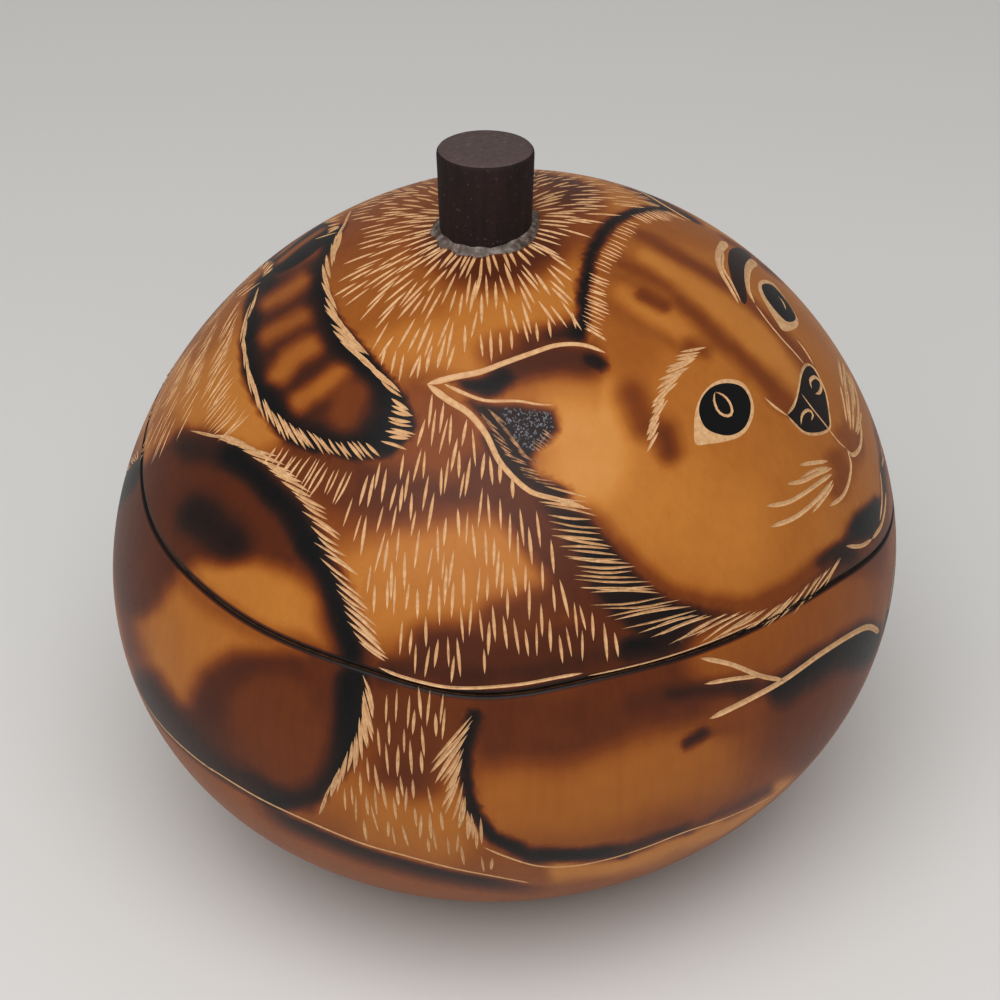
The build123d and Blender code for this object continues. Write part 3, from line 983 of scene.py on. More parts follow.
class Carver:
    """Lays out every groove on the map and says how deeply each place is burnt."""
    CORNER_ROUNDS = 3

    def __init__(self, form: GourdForm) -> None:
        """Start with an empty skin.

        Args:
            form: the gourd to carve.
        """
        self.form = form
        self.hand = StrokeSizes()
        self.coat = FurSizes()
        self.tones = EdgeTones()
        self.dice = random.Random(SEED)
        self.cuts: list[Cut] = []
        self.patches: list[tuple[Array, Slot, float]] = []
        outlines = {"face": FACE, "ear": EAR, "tail": TAIL, "haunch": HAUNCH, "paw": PAW}
        self.regions = {name: form.spots(outline) for name, outline in outlines.items()}
        self.knob = form.flat(np.array([[*form.sizes.knob, OVER_CROWN]]))[0]
        self.back_tail = self._spline(BACK_TAIL)
        self.back_haunch = self._spline(BACK_HAUNCH)
        room = self.hand.tail_room
        self.regions["tail_root"] = np.concatenate([
            self._beside(self.back_tail, room), self._beside(self.back_tail, -room)[::-1]])
        self.regions["haunch_back"] = np.concatenate([
            self.back_haunch, np.array([form.place(a, z) for a, z in BACK_HAUNCH_SIDE])])
        self.back_strokes = self._back_burns()

    def _spline(self, places: Points) -> Array:
        """Smooth line on the map through places given by azimuth and height.

        Args:
            places: azimuths in degrees and heights in millimetres.

        Returns:
            The line's points.
        """
        rough = np.array([self.form.place(a, z) for a, z in places])
        for _ in range(self.CORNER_ROUNDS):
            cut = [rough[:1]]
            for a, b in zip(rough[:-1], rough[1:]):
                cut.append(np.stack([a * 0.75 + b * 0.25, a * 0.25 + b * 0.75]))
            rough = np.concatenate(cut + [rough[-1:]])
        return rough

    def _beside(self, line: Array, gap: float) -> Array:
        """A line beside another, some millimetres to its left.

        Args:
            line: a line on the map.
            gap: distance in millimetres.

        Returns:
            The shifted line's points.
        """
        way = np.gradient(line, axis=0)
        way /= np.linalg.norm(way, axis=1)[:, None]
        return line + leftward(way) * (gap / self.form.scale(line))[:, None]

    def _back_burns(self) -> list[BackBurn]:
        """Burning that closes the drawing on the hidden back.

        Returns:
            The strokes, the last one on top.
        """
        band = self._spline(BACK_BAND)
        tail = self.back_tail
        made = [
            BackBurn(depth=0.95, core=1.0, soft=2.6, line=band),
            BackBurn(depth=0.96, core=4.0, soft=0.9, line=tail, side=Side.RIGHT),
        ]
        near = self._beside(tail, self.hand.bar_half)
        far = self._beside(tail, -self.hand.bar_half)
        first, apart, end = 6, 8, len(tail) - 4
        for k in range(first, end, apart):
            bar = np.stack([near[k], tail[k + 2], far[k + 3]])
            made.append(BackBurn(depth=0.44, core=0.7, soft=1.6, line=bar, side=Side.RIGHT))
        return made

    def feather(self, line: Array, out: float, count: int, length: float, width: float,
                side: Side) -> None:
        """Strokes along a line on the map that lean out to one side of it.

        Args:
            line: the line on the map.
            out: side and reach of the lean in millimetres.
            count: how many strokes.
            length: a stroke's run along the line in millimetres.
            width: greatest width of a stroke in millimetres.
            side: which side of the cat carries them.
        """
        hand = self.hand
        inner = self._beside(line, -hand.lean_in * out)
        outer = self._beside(line, hand.lean_out * out)
        share = np.linspace(0, 1, len(line))
        run = float(np.sum(np.linalg.norm(np.diff(line, axis=0), axis=1) * self.form.scale(line)[1:]))
        for i in range(count):
            u = (i + self.dice.uniform(*hand.place)) / count
            v = u + self.dice.uniform(*hand.run) * length / run
            foot = [np.interp(u, share, inner[:, k]) for k in (0, 1)]
            tip = [np.interp(min(v, 1.0), share, outer[:, k]) for k in (0, 1)]
            stroke = np.array([foot, [(foot[0] + tip[0]) / 2, (foot[1] + tip[1]) / 2], tip])
            for copy in sides(stroke, side):
                self.cuts.append(Cut(copy, width * self.dice.uniform(*hand.width), hand.back_depth))

    def back(self) -> None:
        """Grooves that close the drawing on the hidden back."""
        rooted = self.back_tail[::-1]
        for way in (1.0, -1.0):
            edge = self._beside(rooted, way * self.hand.tail_half)
            self.feather(edge, way, count=22, length=3.6, width=0.46, side=Side.RIGHT)
        self.feather(self.back_haunch, -1.0, count=26, length=3.8, width=0.42, side=Side.BOTH)
        steps = np.arange(*BACK_LINE)
        level = self.lower_line(steps)
        line = np.array([self.form.place(a, z) for a, z in zip(steps, level)])
        self.cuts.append(Cut(line, width=0.34, depth=0.16, blunt=True))

    def _fringe(self, fringe: Fringe) -> None:
        """Cut one row of strokes, each from foot to tip.

        Args:
            fringe: the row.
        """
        hand = self.hand
        wander = fringe.wander
        keys = np.array(fringe.pairs, float)
        run = run_along(keys[:, :2])
        for i in range(fringe.count):
            u = run[-1] * (i + self.dice.uniform(*hand.place)) / fringe.count
            stroke = np.array([np.interp(u, run, keys[:, k]) for k in range(4)])
            foot = stroke[:2]
            tip = stroke[2:]
            reach = tip - foot
            across = np.array([-reach[1], reach[0]])
            tip = foot + reach * self.dice.uniform(1 - wander, 1 + wander)
            tip = tip + across * self.dice.uniform(-hand.tip_sway, hand.tip_sway)
            foot = foot + reach * self.dice.uniform(-wander, wander)
            bend = (foot + tip) / 2 + across * self.dice.uniform(-hand.bend, hand.bend)
            line = self.form.spots([tuple(foot), tuple(bend), tuple(tip)])
            size = fringe.width * self.dice.uniform(*hand.width)
            if len(line) == 3:
                self.cuts.extend(Cut(copy, size, fringe.depth, slot=fringe.slot)
                                 for copy in sides(line, fringe.side))

    def lines(self) -> None:
        """Cut the outlines and the single lines of the drawing."""
        for groove in GROOVES:
            line = self.form.spots(rounded(groove.points, False))
            if len(line) > 1:
                self.cuts.extend(Cut(copy, groove.width, groove.depth, groove.blunt, groove.narrow)
                                 for copy in sides(line, groove.side))

    def fringes(self) -> None:
        """Cut the rows of strokes along the edges of the drawing, then the specks in the ears."""
        for fringe in FRINGES:
            self._fringe(fringe)
        self.specks()

    def specks(self) -> None:
        """Small rough chips in the burnt patch of each ear."""
        hand = self.hand
        low = np.min(SPECKLED, axis=0)
        high = np.max(SPECKLED, axis=0)
        for _ in range(hand.specks):
            at = np.array([self.dice.uniform(low[k], high[k]) for k in (0, 1)])
            turn = self.dice.uniform(0, math.pi)
            half = self.dice.uniform(*hand.speck_half) * np.array([math.cos(turn), math.sin(turn)])
            if in_polygon(at[None], np.array(SPECKLED, float))[0]:
                line = self.form.spots([tuple(at - half), tuple(at), tuple(at + half)])
                size = self.dice.uniform(*hand.speck_width)
                for copy in sides(line, Side.BOTH):
                    self.cuts.append(Cut(copy, size, hand.speck_depth, slot=Slot.ASH))

    def eyes_and_nose(self) -> None:
        """Scraped eye rings with black pupils, and the black nose."""
        near_ring = [
            (696, 444), (694, 428), (696, 409), (703, 393), (715, 382), (729, 379), (743, 383), (751, 395),
            (754, 411), (749, 427), (739, 437), (723, 442), (708, 444),
        ]
        near_pupil = [
            (699, 412), (702, 398), (712, 387), (727, 383), (742, 387), (750, 400), (750, 415), (744, 428),
            (732, 435), (718, 434), (705, 427),
        ]
        far_ring = [
            (759, 282), (766, 280), (776, 286), (790, 306), (798, 320), (796, 328), (784, 331), (776, 321),
            (765, 303), (759, 291),
        ]
        far_pupil = [
            (762, 285), (772, 285), (785, 299), (795, 315), (794, 321), (786, 321), (775, 310), (765, 296),
        ]
        brow_leaf = [
            (730, 250), (740, 248), (751, 256), (747, 266), (745, 280), (747, 298), (744, 304), (736, 291),
            (731, 277), (728, 262),
        ]
        for points, slot, depth in ((near_ring, Slot.CUT, 0.0), (near_pupil, Slot.SKIN, 0.98),
                                    (far_ring, Slot.CUT, 0.0), (far_pupil, Slot.SKIN, 0.95),
                                    (brow_leaf, Slot.SKIN, 0.84), (NOSE, Slot.SKIN, 0.93)):
            self.patches.append((self.form.spots(rounded(points, True)), slot, depth))

    def region(self, name: str, points: Array, both: bool = True) -> Array:
        """Whether points of the map lie in a named part of the drawing, mirrored to both sides or not."""
        return in_polygon(folded(points) if both else points, self.regions[name])

    def lower_line(self, azimuth: Array) -> Array:
        """Height of the line round the bottom, where the fur ends, at azimuths in degrees."""
        return table(LOWER_LINE, from_back(azimuth))

    def fur(self) -> None:
        """Short leaf-shaped ticks in staggered rows that run down from the knob over the whole coat."""
        form = self.form
        crowd = Crowd()
        for cut in self.cuts:
            crowd.mark(form.skin(thicken(cut.line, 6))[0])
        coat = self.coat
        reach = coat.first_row
        row = 0
        while reach <= form.run[-1] - coat.bare_end:
            spread = coat.settled(reach)
            for seed in self._row(reach, row):
                if self._furry(seed):
                    self._tick(seed, spread, crowd)
            reach += coat.row_gap + coat.row_gap_more * spread
            row += 1

    def _row(self, reach: float, row: int) -> list[Array]:
        """Seeds of one row of ticks, at about this run along the skin from the knob.

        Args:
            reach: run along the skin in millimetres.
            row: number of the row.

        Returns:
            Places on the map.
        """
        form = self.form
        coat = self.coat
        rho = math.exp(float(np.interp(reach, form.run, form.m)))
        radius = float(np.interp(reach, form.run, form.r))
        count = int(2 * math.pi * radius / (coat.pitch + coat.pitch_more * coat.settled(reach)))
        shift = self.knob * max(0.0, 1 - reach / coat.centre_run)
        found = []
        for k in range(count):
            a = 2 * math.pi * (k + 0.5 * (row % 2) + self.dice.uniform(-coat.around, coat.around)) / count
            q = rho * (1 + self.dice.uniform(-0.5, 0.5) * coat.along / max(radius, coat.least_radius))
            found.append(shift + q * np.array([math.cos(a), math.sin(a)]))
        return found

    def _furry(self, seed: Array) -> bool:
        """Whether a place on the map is part of the coat.

        Args:
            seed: the place.

        Returns:
            False on the smooth parts of the drawing, on the tail, the chest and the arms, and below the
            bottom line.
        """
        coat = self.coat
        spot, _ = self.form.skin(seed[None])
        height = spot[0, 2]
        azimuth = np.degrees(np.arctan2(spot[:, 1], spot[:, 0]))
        if height < self.lower_line(azimuth)[0] + coat.line_gap:
            return False
        seam = self.form.sizes.belly + self.form.seam_rise(np.radians(azimuth))[0]
        turn = from_back(azimuth)[0]
        if turn > coat.chest[0] and height < coat.chest[1]:
            return False
        if turn > coat.arms[0] and height < seam - coat.arms[1]:
            return False
        smooth = ("face", "ear", "haunch", "paw", "haunch_back")
        return not (any(self.region(name, seed[None])[0] for name in smooth)
                    or any(self.region(name, seed[None], False)[0] for name in ("tail", "tail_root")))

    def _tick(self, seed: Array, spread: float, crowd: Crowd) -> None:
        """Cut one tick if its place is free.

        Args:
            seed: the tick's middle on the map.
            spread: 0 at the knob and 1 away from it.
            crowd: the places taken so far.
        """
        form = self.form
        coat = self.coat
        dice = self.dice
        spot, normal = form.skin(seed[None])
        away = seed - self.knob
        away = away / np.linalg.norm(away)
        turn = dice.uniform(-coat.lean, coat.lean)
        length = dice.uniform(*coat.length) + coat.length_near * (1 - spread)
        width = dice.uniform(*coat.width) + coat.width_near * (1 - spread)
        across, down = form.camera.pixels(spot)[0]
        seen = float((normal[0] * (form.camera.axes()[0] - spot[0])).sum()) > 0
        (_, top), (right, low) = HATCHED
        if seen and across < right and top < down < low:
            turn += coat.hatch_lean
            length = dice.uniform(*coat.hatch_length)
            width = dice.uniform(*coat.hatch_width)
        c, n = math.cos(turn), math.sin(turn)
        way = np.array([c * away[0] - n * away[1], n * away[0] + c * away[1]])
        way = way * length / 2 / float(form.scale(seed[None])[0])
        line = np.stack([seed - way, seed, seed + way])
        dense = form.skin(thicken(line, 4))[0]
        if any(crowd.near(p, coat.gap) for p in dense):
            return
        crowd.mark(dense)
        self.cuts.append(Cut(line, width, coat.depth))

    def corner_ticks(self) -> None:
        """Single ticks where the knob's fur runs out against the tail and the ear."""
        by_tail = [(386, 346, 381, 366), (396, 350, 391, 374), (404, 353, 399, 382), (421, 354, 417, 379),
                   (430, 352, 426, 373), (441, 350, 437, 369)]
        by_ear = [(500, 332, 501, 355), (511, 329, 512, 350), (536, 322, 538, 342), (548, 318, 551, 338),
                  (572, 312, 576, 329)]
        for ticks, side in ((by_tail, Side.RIGHT), (by_ear, Side.BOTH)):
            for x0, y0, x1, y1 in ticks:
                line = self.form.spots([(x0, y0), ((x0 + x1) / 2, (y0 + y1) / 2), (x1, y1)])
                self.cuts.extend(Cut(copy, self.hand.corner_width, self.coat.depth)
                                 for copy in sides(line, side))

    def layout(self) -> None:
        """Lay out the whole carving."""
        self.lines()
        self.fringes()
        self.back()
        self.eyes_and_nose()
        drawn = len(self.cuts)
        self.fur()
        self.corner_ticks()
        LOG.info("carving: %d drawn cuts, %d fur ticks", drawn, len(self.cuts) - drawn)

    def _waver(self, points: Array) -> Array:
        """Small uneven shifts in pixels, so that no burnt edge is quite regular.

        Args:
            points: points of the skin.

        Returns:
            One shift in pixels for each point.
        """
        tones = self.tones
        # Noise for the shift across and the shift down is read in different places
        apart = ((Vector((0, 0, 0)), Vector((0, 0, 0))), (Vector((9, 4, 2)), Vector((5, 1, 7))))
        shifts = []
        for p in points:
            broad = Vector(p) * tones.broad_cells
            fine = Vector(p) * tones.fine_cells
            shifts.append([tones.broad_waver * noise.noise(broad + b)
                           + tones.fine_waver * noise.noise(fine + f) for b, f in apart])
        return np.array(shifts)

    def _seen(self, plane: Array) -> tuple[Array, Array]:
        """Pixels of points of the map, a little wavering, and how well the camera sees each one.

        Args:
            plane: points of the map.

        Returns:
            Pixels, and from 0 to 1 how openly the camera sees each one.
        """
        points, normals = self.form.skin(plane)
        view = self.form.camera.axes()[0] - points
        facing = (normals * view).sum(1) / np.linalg.norm(view, axis=1)
        return self.form.camera.pixels(points) + self._waver(points), smooth_step(*self.tones.facing, facing)

    def burn_at(self, plane: Array) -> Array:
        """How deeply the skin is burnt at points of the map.

        Args:
            plane: points of the map.

        Returns:
            Depth of the burning from 0 to 1 for each point.
        """
        form = self.form
        tones = self.tones
        points, _ = form.skin(plane)
        left = plane[:, 0] > 0
        pixels, shown = self._seen(folded(plane))
        own_pixels, own_shown = self._seen(plane)
        azimuth = np.degrees(np.arctan2(points[:, 1], points[:, 0]))
        value = table(GROUND_TONE, points[:, 2])
        for stroke in BURNS:
            if stroke.side is Side.DRAWN:
                mask = stroke.mask(own_pixels) * own_shown
            else:
                mask = stroke.mask(pixels) * shown
            if stroke.side is Side.RIGHT:
                mask = np.where(left, 0, mask)
            value = blend(value, stroke.depth, mask)
        for stroke in self.back_strokes:
            value = blend(value, stroke.depth, stroke.mask(form, points))
        # Darker along the seam: the burnt rim together with painted shade of the sawn gap
        seam = form.sizes.belly + form.seam_rise(np.radians(azimuth))
        value = blend(value, tones.seam, 1 - smooth_step(*tones.seam_fade, np.abs(points[:, 2] - seam)))
        # Under the bottom line: a tone deepened partly as painted shade, and a band of painted shade just
        # under the line
        under = self.lower_line(azimuth) - points[:, 2]
        band = 1 - smooth_step(*tones.shade_fade, np.abs(under - tones.shade_middle))
        turn = from_back(azimuth)
        shade = smooth_step(*tones.shade_starts, turn) * (1 - smooth_step(*tones.shade_ends, turn))
        below = tones.bare + tones.shade * band * shade
        return blend(value, below, smooth_step(*tones.bare_fade, under))


@dataclass
class SkinMesh:
    """Triangles of the whole outside skin on the map, with what each one is.

    crisp holds the burning of a triangle that has one of its own, and NO_OVERRIDE for all others.
    """
    NO_OVERRIDE: ClassVar[float] = -1.0
    plane: Array
    triangles: list[tuple[int, int, int]]
    slots: list[int]
    crisp: list[float]
    depth: Array
    is_lid: list[bool]


class SkinBuilder:
    """Triangulates the carving on the map; sizes in millimetres."""
    SEAM_POINTS = 720
    SEAM_DEPTH = 0.22
    # Rows of points along the seam, by their height over it
    SEAM_ROWS = (-0.62, -0.28, 0.28, 0.62)
    FOOT_POINTS = 240
    # Outlines are numbered as they come, and these two come first
    SEAM_FACE = 0
    FOOT_FACE = 1
    # Length and number of the straight runs along a groove
    CUT_RUN = 0.55
    FEWEST_RUNS = 5
    MOST_RUNS = 120
    # A short groove narrows like a leaf, a long one over some millimetres at its ends
    LEAF_TAPER = 0.7
    END_RUN = 1.5
    END_TAPER = 0.6
    # Ground points: gap of the rings, unevenness and room beside the carving, as shares of the spacing
    RING_GAP = 0.87
    UNEVENNESS = 0.12
    ROOM = 0.42
    FEWEST_IN_RING = 6
    MERGE = 1e-6

    def __init__(self, form: GourdForm, carver: Carver) -> None:
        """Keep the form and the carving to triangulate.

        Args:
            form: the gourd.
            carver: its carving, laid out.
        """
        self.form = form
        self.carver = carver
        self.verts: list[Span] = []
        self.depths: list[float] = []
        self.edges: list[tuple[int, int]] = []
        self.faces: list[list[int]] = []

    def _add(self, points: Array, depth: float = 0.0) -> list[int]:
        """Add points of the map and return their numbers.

        Args:
            points: points of the map.
            depth: how far they lie under the skin in millimetres.

        Returns:
            The points' numbers.
        """
        start = len(self.verts)
        self.verts.extend((float(p[0]), float(p[1])) for p in points)
        self.depths.extend([depth] * len(points))
        return list(range(start, start + len(points)))

    def _cut(self, cut: Cut) -> None:
        """Add a groove: its outline and its floor line.

        Args:
            cut: the groove.
        """
        line = cut.line
        run = run_along(line)
        scale = float(self.form.scale(line[len(line) // 2][None])[0])
        length = run[-1] * scale
        count = max(self.FEWEST_RUNS, min(self.MOST_RUNS, int(length / self.CUT_RUN)))
        if len(line) == 3:
            count = self.FEWEST_RUNS
        t = np.linspace(0, 1, count + 1)
        at = np.stack([np.interp(t * run[-1], run, line[:, k]) for k in (0, 1)], -1)
        way = np.gradient(at, axis=0)
        way /= np.maximum(np.linalg.norm(way, axis=1), TINY)[:, None]
        across = leftward(way)
        taper = np.sin(math.pi * t) ** self.LEAF_TAPER
        if cut.blunt or len(line) > 3:
            taper = np.clip(np.minimum(t, 1 - t) * length / self.END_RUN, 0, 1) ** self.END_TAPER
        half = cut.width / 2 * taper * np.linspace(1, cut.narrow, count + 1) / self.form.scale(at)
        left = at[1:-1] + across[1:-1] * half[1:-1, None]
        right = at[1:-1] - across[1:-1] * half[1:-1, None]
        first, last = self._add(at[[0, -1]])
        ids_left = self._add(left)
        ids_right = self._add(right)
        floor = self._add(at[1:-1], cut.depth)
        self.faces.append([first] + ids_right + [last] + ids_left[::-1])
        chain = [first] + floor + [last]
        self.edges.extend(zip(chain[:-1], chain[1:]))

    def _loop(self, points: Array, depth: float = 0.0) -> None:
        """Add a closed outline as a face, turned to run the same way round as all others.

        Args:
            points: corners on the map.
            depth: depth under the skin in millimetres.
        """
        after = np.roll(points, -1, 0)
        if np.sum(points[:, 0] * after[:, 1] - points[:, 1] * after[:, 0]) < 0:
            points = points[::-1]
        self.faces.append(self._add(points, depth))

    def _ground(self, spacing: float) -> Array:
        """Evenly spread points over the skin, staggered ring by ring.

        Args:
            spacing: distance between points in millimetres.

        Returns:
            Points of the map.
        """
        form = self.form
        dice = random.Random(SEED + 1)
        rings = []
        for s in np.arange(spacing, form.run[-1] - spacing / 2, spacing * self.RING_GAP):
            r = float(np.interp(s, form.run, form.r))
            m = float(np.interp(s, form.run, form.m))
            count = max(self.FEWEST_IN_RING, int(2 * math.pi * r / spacing))
            a = (np.arange(count) + dice.random()) * 2 * math.pi / count
            sway = np.array([dice.uniform(-self.UNEVENNESS, self.UNEVENNESS) for _ in range(count)])
            rings.append(circle(a + sway * 2 * math.pi / count) * math.exp(m))
        return np.concatenate(rings)

    def build(self, spacing: float) -> SkinMesh:
        """Triangulate everything.

        Args:
            spacing: distance in millimetres between the points that fill the plain skin.

        Returns:
            The triangles with their slots, burning overrides and groove depths.
        """
        form = self.form
        self._loop(form.seam_loop(self.SEAM_POINTS), self.SEAM_DEPTH)
        for over in self.SEAM_ROWS:
            self._add(form.seam_loop(self.SEAM_POINTS, over))
        a = np.linspace(0, 2 * math.pi, self.FOOT_POINTS, endpoint=False)
        self._loop(circle(a) * math.exp(form.m[-1]))
        first_patch = len(self.faces)
        for outline, _, _ in self.carver.patches:
            self._loop(outline)
        first_cut = len(self.faces)
        for cut in self.carver.cuts:
            self._cut(cut)
        solid, _ = form.skin(np.array(self.verts))
        tree = kdtree.KDTree(len(solid))
        for i, p in enumerate(solid):
            tree.insert(p, i)
        tree.balance()
        ground = self._ground(spacing)
        spots, _ = form.skin(ground)
        free = [tree.find(p)[2] > self.ROOM * spacing for p in spots]
        self._add(ground[np.array(free)])
        LOG.info("skin: %d points, %d outlines", len(self.verts), len(self.faces))
        all_triangles = 0
        verts, _, triangles, from_verts, _, from_faces = geometry.delaunay_2d_cdt(
            [Vector(v) for v in self.verts], self.edges, self.faces, all_triangles, self.MERGE, True)
        plane = np.array([(v.x, v.y) for v in verts])
        depth = np.array([max((self.depths[k] for k in ids), default=0.0) for ids in from_verts])
        kept, slots, crisp, is_lid = [], [], [], []
        for face, ids in zip(triangles, from_faces):
            if self.FOOT_FACE not in ids or len(face) != 3:
                continue
            slot = Slot.SKIN.value
            override = SkinMesh.NO_OVERRIDE
            cut = [self.carver.cuts[k - first_cut].slot.value for k in ids if k >= first_cut]
            if cut:
                slot = min(cut)
            patch = [k for k in ids if first_patch <= k < first_cut]
            if patch and not cut:
                _, kind, value = self.carver.patches[max(patch) - first_patch]
                slot = kind.value
                override = value
            kept.append(tuple(face))
            slots.append(slot)
            crisp.append(override)
            is_lid.append(self.SEAM_FACE in ids)
        LOG.info("skin: %d triangles", len(kept))
        return SkinMesh(plane, kept, slots, crisp, depth, is_lid)


def extrude(bm: Shape, edges: Edges) -> tuple[list[bmesh.types.BMVert], Edges, list[bmesh.types.BMFace]]:
    """Extrude a closed chain of edges.

    Args:
        bm: the shape.
        edges: the chain.

    Returns:
        The new vertices, the edges that join them, and the faces between the old chain and the new.
    """
    made = bmesh.ops.extrude_edge_only(bm, edges=edges)["geom"]
    verts = [g for g in made if isinstance(g, bmesh.types.BMVert)]
    faces = [g for g in made if isinstance(g, bmesh.types.BMFace)]
    fresh = set(verts)
    chain = [g for g in made if isinstance(g, bmesh.types.BMEdge) and fresh.issuperset(g.verts)]
    return verts, chain, faces


def place_piece(bm: Shape, name: str, node: str, body: str) -> Piece:
    """Turn a finished bmesh into a piece that rides on a body.

    Args:
        bm: the shape, in metres; it is freed.
        name: the piece's name.
        node: the solid it stands for.
        body: the body it rides on.

    Returns:
        The piece.
    """
    bmesh.ops.recalc_face_normals(bm, faces=bm.faces[:])
    data = bpy.data.meshes.new(name)
    bm.to_mesh(data)
    bm.free()
    piece = bpy.data.objects.new(name, data)
    bpy.context.scene.collection.objects.link(piece)
    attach(piece, body)
    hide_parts(node)
    LOG.info("%s: %d triangles", name, sum(len(p.vertices) - 2 for p in data.polygons))
    return piece


@dataclass
class CarvedShell:
    """One half of the gourd: carved skin outside, sawn edge, pith inside."""
    form: GourdForm
    carver: Carver
    skin: SkinMesh
    half: Half
    lining_rows: int = 16
    lining_start: float = 0.02
    lining_span: float = 0.97
    foot_share: float = 0.5
    foot_burn: float = 0.2
    foot_level: float = 2.0

    @property
    def draw_back(self) -> float:
        """Half the saw's width, towards this half, in millimetres."""
        return self.form.sizes.kerf / 2 * (1 if self.half is Half.LID else -1)

    def build(self) -> Piece:
        """Make the shell: wrap its share of the skin, close the foot, grow the wall.

        Returns:
            The shell's piece.
        """
        lid = self.half is Half.LID
        keep = [i for i, over in enumerate(self.skin.is_lid) if over == lid]
        used = sorted({v for i in keep for v in self.skin.triangles[i]})
        plane = self.skin.plane[used]
        bm = bmesh.new()
        layer = bm.loops.layers.float.new(BURN_LAYER)
        verts = self._wrap(bm, layer, keep, used)
        rim = [e for e in bm.edges if len(e.link_faces) == 1]
        if not lid:
            low = {e for e in rim if max(v.co.z for v in e.verts) < self.foot_level * MM}
            foot = [e for e in rim if e in low]
            rim = [e for e in rim if e not in low]
            self._foot(bm, foot, layer)
        for vert in {v for e in rim for v in e.verts}:
            vert.co.z += self.draw_back * MM
        self._inside(bm, rim, dict(zip(verts, plane)))
        name = self.half.value
        return place_piece(bm, f"carved_{name}", f"gourd_{name}", name)

    def dress(self, piece: Piece, finishes: list[bpy.types.Material]) -> None:
        """Give the shell its finishes, in the order of Slot."""
        for finish in finishes:
            piece.data.materials.append(finish)

    def _wrap(self, bm: Shape, layer: Layer, keep: list[int],
              used: list[int]) -> list[bmesh.types.BMVert]:
        """Wrap the flat skin back on the gourd, with its grooves and its burning.

        Args:
            bm: the shape to add to.
            layer: where the burning goes.
            keep: numbers of this half's triangles.
            used: numbers of their points.

        Returns:
            The new vertices, in the order of used.
        """
        plane = self.skin.plane[used]
        burn = self.carver.burn_at(plane)
        points, normals = self.form.skin(plane)
        points = points - normals * self.skin.depth[used][:, None]
        verts = [bm.verts.new(Vector(p) * MM) for p in points]
        number = {v: k for k, v in enumerate(used)}
        for i in keep:
            corners = [number[v] for v in self.skin.triangles[i]]
            face = bm.faces.new([verts[k] for k in corners])
            face.material_index = self.skin.slots[i]
            face.smooth = True
            for loop, k in zip(face.loops, corners):
                own = self.skin.crisp[i]
                loop[layer] = float(burn[k]) if own == SkinMesh.NO_OVERRIDE else own
        for edge in bm.edges:
            if len({face.material_index for face in edge.link_faces}) == 2:
                edge.smooth = False
        return verts

    def _lining(self, plane: Array, share: float) -> Array:
        """Points of the inside wall.

        Args:
            plane: points of the map on the sawn edge.
            share: way in from the sawn edge at 0 to the middle at 1.

        Returns:
            One point of the wall for each point of the edge.
        """
        s = self.form.sizes
        points, _ = self.form.skin(plane)
        xy = points[:, :2] @ self.form.shrink.T
        azimuth = np.arctan2(xy[:, 1], xy[:, 0])
        drop = s.wall * math.tan(math.radians(s.bevel))
        rise = points[:, 2] - s.belly - drop
        inner_rise = s.rise - s.wall
        inner_drop = s.belly - s.floor
        start = np.arcsin(np.clip(np.abs(rise) / inner_rise, 0, 1) ** (s.upper_fullness / 2)) * np.sign(rise)
        end = math.pi / 2 if self.half is Half.LID else -math.pi / 2
        t = start + (end - start) * share
        up = t >= 0
        power = np.where(up, 2 / s.upper_fullness, 2 / s.lower_fullness)
        reach = np.where(up, inner_rise, inner_drop)
        r = (s.radius - s.wall) * np.maximum(np.cos(t), 0) ** power
        z = s.belly + np.sign(t) * reach * np.abs(np.sin(t)) ** power
        flat = circle(azimuth) * r[:, None]
        return np.concatenate([flat @ self.form.stretch.T, z[:, None]], 1)

    def _foot(self, bm: Shape, edges: Edges,
              layer: Layer) -> None:
        """Close the flat foot.

        Args:
            bm: the shape.
            edges: the lowest edges of the skin.
            layer: where the burning goes.
        """
        verts, inner, faces = extrude(bm, edges)
        for vert in verts:
            vert.co = Vector((vert.co.x * self.foot_share, vert.co.y * self.foot_share, 0))
        faces += bmesh.ops.edgeloop_fill(bm, edges=inner)["faces"]
        for face in faces:
            face.material_index = Slot.SKIN.value
            face.smooth = False
            for loop in face.loops:
                loop[layer] = self.foot_burn

    def _inside(self, bm: Shape, rim: Edges,
                home: dict[bmesh.types.BMVert, Array]) -> None:
        """Grow the sawn edge and the inside wall from the outside edge.

        Args:
            bm: the shape.
            rim: edges of the skin along the seam.
            home: point of the map of each vertex.
        """
        edges = rim
        rows = self.lining_rows
        steps = [0.0] + [self.lining_start + self.lining_span * (k + 1) / rows for k in range(rows)]
        for level, share in enumerate(steps):
            before = {v for e in edges for v in e.verts}
            verts, edges, faces = extrude(bm, edges)
            follow = {}
            for vert in verts:
                partners = (edge.other_vert(vert) for edge in vert.link_edges)
                follow[vert] = next(home[other] for other in partners if other in before)
            places = self._lining(np.array(list(follow.values())), share)
            places[:, 2] += self.draw_back * (1 - share)
            for vert, p in zip(follow, places):
                vert.co = Vector(p) * MM
            home = follow
            for face in faces:
                face.material_index = Slot.SAWN.value if level == 0 else Slot.PITH.value
                face.smooth = level > 0
            if level == 0:
                for e in rim + edges:
                    e.smooth = False
        for face in bmesh.ops.edgeloop_fill(bm, edges=edges)["faces"]:
            face.material_index = Slot.PITH.value


Colour = tuple[float, float, float, float]
Stops = tuple[tuple[float, Colour], ...]
Socket = bpy.types.NodeSocket


def linear(value: int) -> float:
    """A channel's display value from 0 to 255 without its display curve, from 0 to 1."""
    c = value / 255
    return c / 12.92 if c <= 0.04045 else ((c + 0.055) / 1.055) ** 2.4


def rgb(red: int, green: int, blue: int) -> Colour:
    """Opaque colour for a shader, of display values from 0 to 255."""
    return linear(red), linear(green), linear(blue), 1.0


